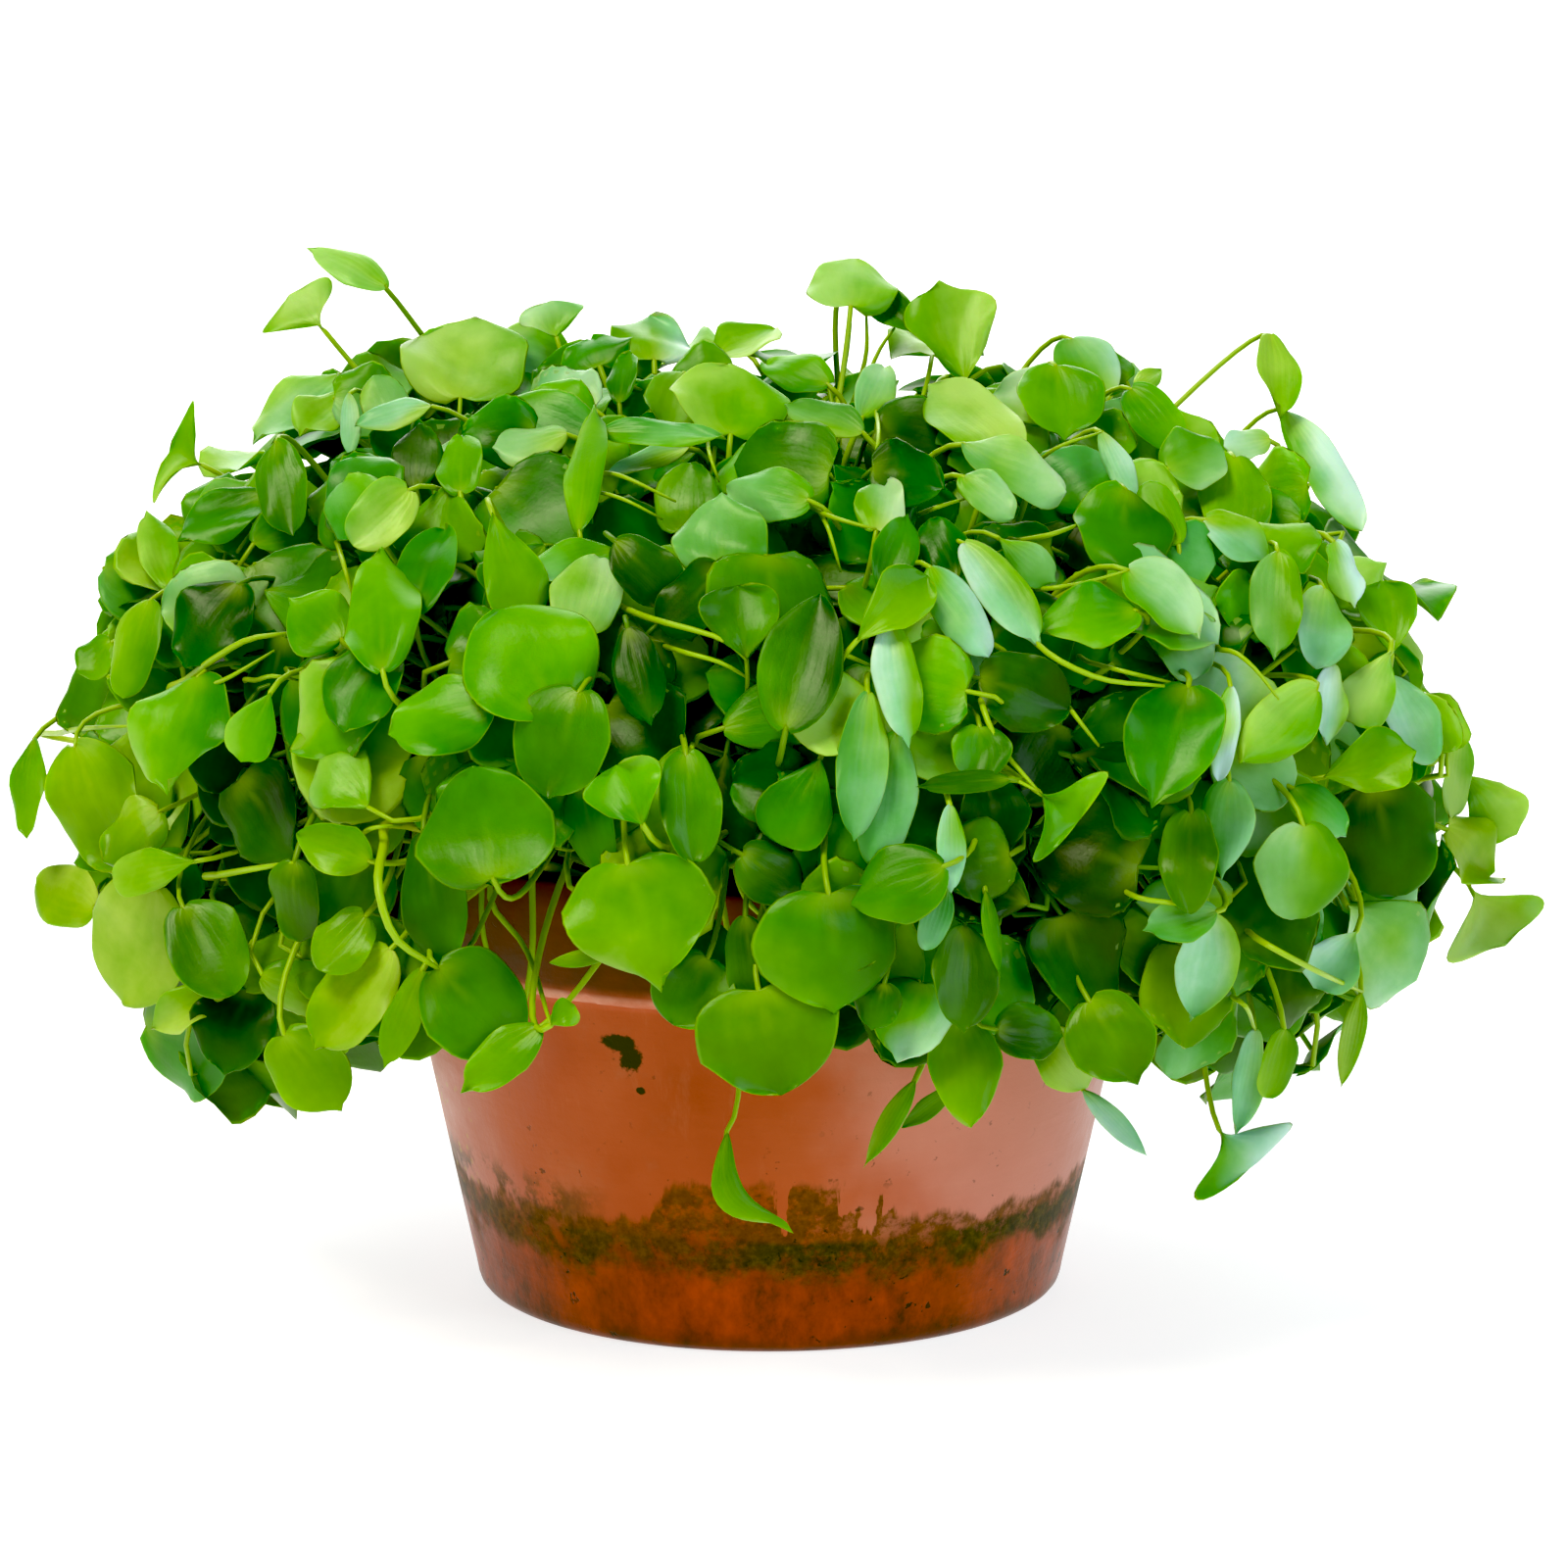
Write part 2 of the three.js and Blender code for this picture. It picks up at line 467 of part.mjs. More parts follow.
function seenLeaf(seen, index) {
  const draw = makeDraw(index + 1);
  const middle = [(seen.base[0] + seen.tip[0]) / 2, (seen.base[1] + seen.tip[1]) / 2];
  const ray = pixelRay(middle);
  const depth = seen.ahead ? (-seen.ahead - EYE.y) / ray.y : onMound(ray);
  const face = mixed([EYE, 1], [ray, depth]);
  const tilt = mixed([RIGHT, draw(-0.34, 0.34)], [IMAGE_UP, draw(-0.2, 0.42)]);
  // Fans and wings are seen nearly flat on
  const loose = ["fan", "wing"].includes(seen.kind) ? 0.35 : 1;
  const swing = mixed([moundNormal(face), 0.5], [UP, 0.12], [tilt, 1]);
  const normal = mixed([swing, loose], [LOOK, -0.6]).normalize();
  const mmPerPixel = depth / (VIEW.pixelsPerMm * VIEW.distance);
  const across = (seen.tip[0] - seen.base[0]) * mmPerPixel;
  const up = (seen.base[1] - seen.tip[1]) * mmPerPixel;
  const flat = mixed([RIGHT, across], [IMAGE_UP, up]);
  const most = 0.8 * flat.length();
  const lean = THREE.MathUtils.clamp(-flat.dot(normal) / LOOK.dot(normal), -most, most);
  const axis = mixed([flat, 1], [LOOK, lean]);
  const side = normal.clone().cross(axis).normalize();
  const shown = Math.abs(side.dot(RIGHT) * up - side.dot(IMAGE_UP) * across) / flat.length();
  const viaPoint = seen.via && mixed([EYE, 1], [pixelRay(seen.via), depth + 6]);
  return {
    kind: seen.kind,
    middle: mixed([EYE, 1], [ray, depth + (seen.deep ?? 0)]),
    length: axis.length(),
    width: (seen.wide * mmPerPixel) / Math.max(shown, 0.7),
    axis: axis.normalize(),
    normal: axis.clone().cross(side).normalize(),
    inward: LOOK,
    bow: seen.bow ?? 0,
    twist: draw(-0.25, 0.25),
    via: viaPoint,
    large: seen.wide > LARGE,
    seen: true,
  };
}

function ruledLeaf(index) {
  const draw = makeDraw(RULED.seed + index * 3);
  const sine = RULED.lowest + ((RULED.highest - RULED.lowest) * (index + 0.5)) / RULED.count;
  const turn = index * RULED.goldenAngle + draw(-0.12, 0.12);
  const cosine = Math.sqrt(1 - sine * sine);
  const outward = new THREE.Vector3(Math.cos(turn) * cosine, Math.sin(turn) * cosine, sine);
  let near = 0;
  let far = 260;
  for (let i = 0; i < 30; i += 1) {
    const halfway = (near + far) / 2;
    if (moundLevel(mixed([MOUND.middle, 1], [outward, halfway])) < 1) near = halfway;
    else far = halfway;
  }
  const face = mixed([MOUND.middle, 1], [outward, near]);
  const faceNormal = moundNormal(face);
  const facing = faceNormal.dot(LOOK);
  const lean = RULED.lean * Math.max(0, 1 - RULED.leanFade * facing);
  const around = new THREE.Vector3(-Math.sin(turn), Math.cos(turn), 0);
  const downhill = faceNormal.clone().cross(around).normalize();
  const heading = draw(-1.3, 1.3);
  const tilt = mixed([around, draw(-0.48, 0.48)], [downhill, draw(-0.25, 0.42)]);
  const normal = mixed([faceNormal, 1], [UP, 0.25], [tilt, 1], [LOOK, -lean]).normalize();
  const rough = mixed([downhill, -Math.cos(heading)], [around, Math.sin(heading)]);
  const axis = mixed([rough, 1], [normal, -rough.dot(normal)]).normalize();
  const kind = RULED_KINDS[Math.floor(draw(0, RULED_KINDS.length))];
  const length = draw(...RULED.lengths);
  const sprouts =
    index % RULED.sproutEvery === 2 &&
    facing > RULED.sproutFacing &&
    face.y < RULED.sproutWidest &&
    faceNormal.z < RULED.sproutSteepest;
  return {
    kind,
    middle: mixed([face, 1], [faceNormal, draw(...(sprouts ? RULED.sproutDepths : RULED.depths))]),
    length,
    width: length * (kind === "oval" ? draw(0.5, 0.75) : draw(0.9, 1.3)),
    axis,
    normal,
    inward: faceNormal.clone().negate(),
    bow: 0,
    twist: draw(-0.4, 0.4),
    hidden: facing > -RULED.frontFacing,
  };
}

function halfWidth(leaf, u) {
  const kind = KINDS[leaf.kind];
  const widest = kind.base / (kind.base + kind.tip);
  const most = widest ** kind.base * (1 - widest) ** kind.tip;
  return ((leaf.width / 2) * u ** kind.base * (1 - u) ** kind.tip) / most;
}

// Point of a blade's middle surface, with u from base to tip and v from -1 to 1 across
function bladePoint(leaf, u, v) {
  const kind = KINDS[leaf.kind];
  const side = leaf.normal.clone().cross(leaf.axis);
  const across = halfWidth(leaf, u) * v;
  const turn = leaf.twist * (u - 0.5);
  const along = leaf.length * (u - kind.sweep * v * v * (1 - u));
  const sideways = across * Math.cos(turn) + leaf.bow * leaf.length * Math.sin(Math.PI * u);
  const lift = across * Math.sin(turn) - kind.cup * Math.abs(across * v) - kind.curl * leaf.length * u * u;
  const base = mixed([leaf.middle, 1], [leaf.axis, -leaf.length / 2]);
  return mixed([base, 1], [leaf.axis, along], [side, sideways], [leaf.normal, lift]);
}

// Bezier points of the petiole from the crown to the blade
function petioleCurve(leaf, place, bend) {
  const end = bladePoint(leaf, 0, 0);
  const heart = SOIL.top + SOIL.dome + GAP + PLANT.crownHeight * 0.3;
  const crown = new THREE.Vector3(place.x, place.y, heart);
  const away = mixed([end, 1], [crown, -1]);
  const reach = away.length();
  const flatReach = Math.hypot(away.x, away.y);
  const rise = Math.max(away.z, flatReach * 0.55);
  const start = new THREE.Vector3(away.x, away.y, rise).normalize();
  const root = mixed([crown, 1], [start, PLANT.crownRadius - LEAF.rootSink]);
  const first = mixed([root, 1], [start, (reach - PLANT.crownRadius) * 0.42]);
  if (end.z < POT.height + 30 && Math.hypot(end.x, end.y) > 80) {
    const outward = Math.max(1, (POT.rimRadius + 14) / Math.hypot(first.x, first.y));
    const arch = POT.height + 38 + THREE.MathUtils.clamp(POT.height - end.z, 0, 80) * 0.5;
    first.set(first.x * outward, first.y * outward, Math.max(first.z, arch));
  }
  first.add(mixed([UP, bend.lift], [start.clone().cross(UP).normalize(), bend.sway]));
  const back = Math.min(reach * 0.32, 20);
  const second = leaf.via ?? mixed([end, 1], [leaf.axis, -back], [leaf.normal, -back * 0.6]);
  return new THREE.CubicBezierCurve3(root, first, second, end);
}

// Closed mesh of a leaf: rings of three along the petiole, then rows of three on each face of the blade
function leafSolid(leaf, place, bend, extra) {
  const rows = leaf.width > 17 ? 3 : leaf.width > 9.5 ? 2 : 1;
  const segments = rows > 1 && leaf.seen ? 3 : 2;
  const curve = petioleCurve(leaf, place, bend);
  const half = LEAF.thickness / 2 + extra;
  const points = [];
  let side = leaf.normal.clone().cross(leaf.axis).normalize();
  const rings = [];
  for (let i = segments; i >= 0; i -= 1) {
    const t = i / segments;
    const tangent = i === segments ? leaf.axis : curve.getTangent(t);
    side = mixed([side, 1], [tangent, -side.dot(tangent)]).normalize();
    const above = tangent.clone().cross(side).normalize();
    const radius = extra + LEAF.petioleRadius + (LEAF.rootRadius - LEAF.petioleRadius) * (1 - t);
    const centre = curve.getPoint(t);
    rings.unshift([
      mixed([centre, 1], [side, -radius * 0.87], [above, radius * 0.5]),
      mixed([centre, 1], [side, radius * 0.87], [above, radius * 0.5]),
      mixed([centre, 1], [above, -radius]),
    ]);
  }
  rings.forEach((ring) => points.push(...ring));
  const widest = KINDS[leaf.kind].base / (KINDS[leaf.kind].base + KINDS[leaf.kind].tip);
  const stations = { 1: [widest], 2: [widest * 0.7, widest + (1 - widest) * 0.5] }[rows] ?? [
    widest * 0.4,
    widest,
    widest + (1 - widest) * 0.62,
  ];
  for (const u of stations) {
    const row = [-1, 0, 1].map((v) => bladePoint(leaf, u, v));
    for (const offset of [half, -half]) {
      row.forEach((point) => points.push(mixed([point, 1], [leaf.normal, offset])));
    }
  }
  const tip = bladePoint(leaf, 1, 0);
  points.push(mixed([tip, 1], [leaf.normal, half]), mixed([tip, 1], [leaf.normal, -half]));
  return solidFromArrays(points, leafTriangles(segments, rows));
}

function quad(a, b, c, d) {
  return [a, b, c, a, c, d];
}

function leafTriangles(segments, rows) {
  const triangles = [0, 1, 2];
  for (let i = 0; i < segments; i += 1) {
    const [a, b] = [3 * i, 3 * i + 3];
    for (const [p, q] of [[0, 1], [1, 2], [2, 0]]) triangles.push(...quad(a + p, b + p, b + q, a + q));
  }
  const last = 3 * segments;
  const [left, right, under] = [last, last + 1, last + 2];
  const row = (j) => last + 3 + 6 * j;
  const first = row(0);
  triangles.push(left, first, first + 1, left, first + 1, right, right, first + 1, first + 2);
  triangles.push(under, first + 4, first + 3, under, first + 5, first + 4);
  triangles.push(left, under, first + 3, left, first + 3, first);
  triangles.push(right, first + 2, first + 5, right, first + 5, under);
  for (let j = 0; j + 1 < rows; j += 1) {
    const [a, b] = [row(j), row(j + 1)];
    triangles.push(...quad(a, b, b + 1, a + 1), ...quad(a + 1, b + 1, b + 2, a + 2));
    triangles.push(...quad(a + 3, a + 4, b + 4, b + 3), ...quad(a + 4, a + 5, b + 5, b + 4));
    triangles.push(...quad(a + 3, b + 3, b, a), ...quad(a + 2, b + 2, b + 5, a + 5));
  }
  const end = row(rows - 1);
  const [tip, tipUnder] = [row(rows), row(rows) + 1];
  triangles.push(end, tip, end + 1, end + 1, tip, end + 2);
  triangles.push(end + 3, end + 4, tipUnder, end + 4, end + 5, tipUnder);
  triangles.push(...quad(end + 3, tipUnder, tip, end), ...quad(end + 2, tip, tipUnder, end + 5));
  return triangles;
}

// Placing the leaves clear of each other

function boxesMeet(a, b) {
  return [0, 1, 2].every((i) => a.min[i] <= b.max[i] && b.min[i] <= a.max[i]);
}

function meets(a, b, allowed) {
  if (!boxesMeet(a.boundingBox(), b.boundingBox())) return false;
  const common = a.intersect(b);
  const volume = common.volume();
  common.delete();
  return volume > allowed;
}

// The plants that may carry a leaf, the likeliest first
function plantsFor(leaf, places) {
  const base = bladePoint(leaf, 0, 0);
  const flat = Math.hypot(base.x, base.y);
  const high = base.z - SOIL.top > PLANT.middleAbove * flat;
  const ring = places
    .map((place, i) => ({ i, distance: Math.hypot(place.x - base.x, place.y - base.y) }))
    .filter(({ i }) => i > 0)
    .sort((a, b) => a.distance - b.distance)
    .map(({ i }) => i);
  return high ? [0, ring[0], ring[1]] : [ring[0], ring[1], 0];
}

function placeLeaves(places, obstacles) {
  const placed = [];
  const leaves = SEEN_LEAVES.map(seenLeaf);
  for (let i = 0; i < RULED.count; i += 1) {
    const leaf = ruledLeaf(i);
    if (leaf.hidden) leaves.push(leaf);
  }
  const [little, most] = SHARED;
  for (const leaf of leaves) {
    const choice =
      clearChoice(leaf, little, places, placed, obstacles) ??
      (leaf.large ? clearChoice(leaf, most, places, placed, obstacles) : null);
    if (choice) placed.push(choice);
  }
  return placed;
}

function clearChoice(leaf, shared, places, placed, obstacles) {
  for (let step = 0; step < INWARD.steps; step += 1) {
    const middle = mixed([leaf.middle, 1], [leaf.inward, INWARD.by * step]);
    const moved = { ...leaf, middle };
    for (const plant of plantsFor(moved, places)) {
      for (const bend of BENDS) {
        const guard = leafSolid(moved, places[plant], bend, LEAF.clearance);
        const blocked =
          obstacles.some((obstacle) => obstacle.plant !== plant && meets(guard, obstacle.solid, 0)) ||
          placed.some((other) => meets(guard, other.guard, other.plant === plant ? shared : 0));
        if (!blocked) return { plant, guard, solid: leafSolid(moved, places[plant], bend, 0) };
        guard.delete();
      }
    }
  }
  return null;
}

// The largest body of a solid, without hollows that joining has sealed
function outerBody(solid) {
  const bodies = solid.decompose().filter((body) => body.volume() > 0);
  return bodies.sort((a, b) => b.volume() - a.volume())[0];
}

function makePlant(index, place, placed) {
  const leaves = placed.filter((leaf) => leaf.plant === index).map((leaf) => leaf.solid);
  return outerBody(Manifold.union([makeCrown(place), ...leaves]));
}

// Scene graph

function meshOf(name, solid, color, roughness) {
  const { numProp, vertProperties, triVerts } = solid.getMesh();
  const geometry = new THREE.BufferGeometry();
  const positions = new Float32Array((vertProperties.length / numProp) * 3);
  for (let i = 0; i < positions.length; i += 1) {
    positions[i] = vertProperties[Math.floor(i / 3) * numProp + (i % 3)];
  }
  geometry.setAttribute("position", new THREE.BufferAttribute(positions, 3));
  geometry.setIndex(new THREE.BufferAttribute(new Uint32Array(triVerts), 1));
  geometry.computeVertexNormals();
  const mesh = new THREE.Mesh(geometry, new THREE.MeshStandardMaterial({ color, roughness, metalness: 0 }));
  mesh.name = name;
  return mesh;
}

function makeModel() {
  const group = new THREE.Group();
  const places = crownPlaces();
  const pot = makePot();
  const soil = makeSoil();
  const crowns = places.map((place, plant) => ({ plant, solid: makeCrown(place) }));
  const placed = placeLeaves(places, [{ solid: pot }, { solid: soil }, ...crowns]);
  group.add(meshOf("pot", pot, "#b4532a", 0.45));
  group.add(meshOf("soil", soil, "#2c1d14", 0.95));
  places.forEach((place, index) => {
    group.add(meshOf(`miners_lettuce_${place.name}`, makePlant(index, place, placed), "#4f9a10", 0.4));
  });
  return group;
}

export default makeModel();
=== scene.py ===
import math

import bpy
import numpy as np
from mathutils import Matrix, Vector, kdtree, noise


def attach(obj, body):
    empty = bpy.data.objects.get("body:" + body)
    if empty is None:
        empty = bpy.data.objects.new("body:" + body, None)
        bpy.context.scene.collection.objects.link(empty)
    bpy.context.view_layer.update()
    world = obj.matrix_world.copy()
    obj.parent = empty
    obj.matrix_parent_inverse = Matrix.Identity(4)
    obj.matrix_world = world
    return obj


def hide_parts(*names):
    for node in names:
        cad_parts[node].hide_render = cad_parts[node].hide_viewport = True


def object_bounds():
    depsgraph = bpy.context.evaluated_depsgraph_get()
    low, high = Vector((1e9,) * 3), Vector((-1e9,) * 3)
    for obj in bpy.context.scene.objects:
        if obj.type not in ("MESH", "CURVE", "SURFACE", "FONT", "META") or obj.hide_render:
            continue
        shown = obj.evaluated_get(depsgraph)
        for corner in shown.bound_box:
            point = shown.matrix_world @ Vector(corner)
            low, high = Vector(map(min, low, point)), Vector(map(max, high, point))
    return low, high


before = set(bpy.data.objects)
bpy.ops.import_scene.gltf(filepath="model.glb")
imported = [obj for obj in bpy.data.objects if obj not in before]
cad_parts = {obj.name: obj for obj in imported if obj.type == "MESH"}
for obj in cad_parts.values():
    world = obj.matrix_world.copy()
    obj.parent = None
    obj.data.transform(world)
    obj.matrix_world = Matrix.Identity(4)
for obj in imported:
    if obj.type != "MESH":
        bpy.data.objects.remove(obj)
cad_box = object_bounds()

MM = 0.001
BOX_LOW, BOX_HIGH = (np.array(corner) / MM for corner in cad_box)

# Pot and soil, as in the solids
POT_HEIGHT = 120
BASE_RADIUS = 70.6
WALL_SLOPE = 0.217
CORNER_RADIUS = 4
COLLAR_START = 89
COLLAR_OVERHANG = 3
RIM_RADIUS = 98.5
WALL_THICKNESS = 7
FLOOR_THICKNESS = 7
DRAIN_RADIUS = 7.5
DRAIN_EDGE = 0.5  # bevel round the drain hole
RIM_ROUND = 2.1  # radius of the rim's outer edge
INNER_ROUND = 1.6  # and of its inner edge
FLOOR_CORNER = 4  # bevel between the wall and floor inside
SOIL_TOP = 105
SOIL_DOME = 2
GAP = 0.3

# Plants: one in the middle and a ring of six round it
RING_RADIUS = 50
RING_NAMES = ["right", "back_right", "back_left", "left", "front_left", "front_right"]
CROWN_RADIUS = 22
CROWN_HEIGHT = 30
MIDDLE_ABOVE = 0.9

# Leaves of the solids
LEAF_THICKNESS = 0.8
PETIOLE_RADIUS = 1.15
ROOT_RADIUS = 1.5
ROOT_SINK = 2.5

# Mound: the rounded body of foliage that the outer leaves lie on
MOUND_MIDDLE = np.array([-3.0, 0.0, 118.0])
MOUND_WIDTH = 167
MOUND_BREADTH = 157
MOUND_HEIGHT = 111
MOUND_DEPTH = 95
MOUND_POWER = 2.5

# Photograph: 1600 by 1600 pixels, taken from a little above with a long lens
IMAGE_SIZE = 1600
VIEW_DISTANCE = 2600
VIEW_ELEVATION = math.radians(12.8)
VIEW_AIM = np.array([3.4, 0.0, 123.85])
PIXELS_PER_MM = 4.2

# Outlines of the blades. The half width runs as u^base * (1 - u)^tip along the blade, sweep turns the
# lobes back past the petiole, cup lowers the edges and curl lowers the tip.
KINDS = {
    "round": dict(base=0.42, tip=0.46, sweep=0.06, cup=0.23, curl=0.12),
    "kidney": dict(base=0.34, tip=0.54, sweep=0.07, cup=0.24, curl=0.14),
    "oval": dict(base=0.52, tip=0.46, sweep=0.02, cup=0.24, curl=0.1),
    "rhombic": dict(base=0.56, tip=0.72, sweep=0.05, cup=0.2, curl=0.12),
    "fan": dict(base=1.05, tip=0.4, sweep=0, cup=0.2, curl=0.08),
    "wing": dict(base=1.9, tip=0.5, sweep=-0.08, cup=0.2, curl=0.04),
    "lance": dict(base=0.75, tip=0.85, sweep=0, cup=0.24, curl=0.06),
}

# Colour of the seen leaves: how light it is from 0 to 1, which holds painted light and shade as well as their
# own tone, and how far it goes from yellow green to blue green, which is a bluish painted sheen
TONES = {
    "pale": (0.93, 0.1),
    "milky_sheen": (0.88, 0.45),
    "bright": (0.84, 0.0),
    "lit": (0.68, 0.0),
    "sheen": (0.68, 0.4),
    "mid": (0.46, 0.06),
    "deep": (0.28, 0.06),
    "dark": (0.12, 0.0),
    "cool": (0.64, 0.75),
    "strong_sheen": (0.8, 0.9),
    "whitest_sheen": (0.94, 1.0),
}


def seen(kind, base, tip, wide, tone, deep=0, ahead=None, bow=0, via=None, dive=0, point=None):
    shape = dict(kind=kind, base=base, tip=tip, wide=wide, deep=deep, ahead=ahead, bow=bow, via=via)
    return shape | dict(tone=tone, dive=dive, point=point)


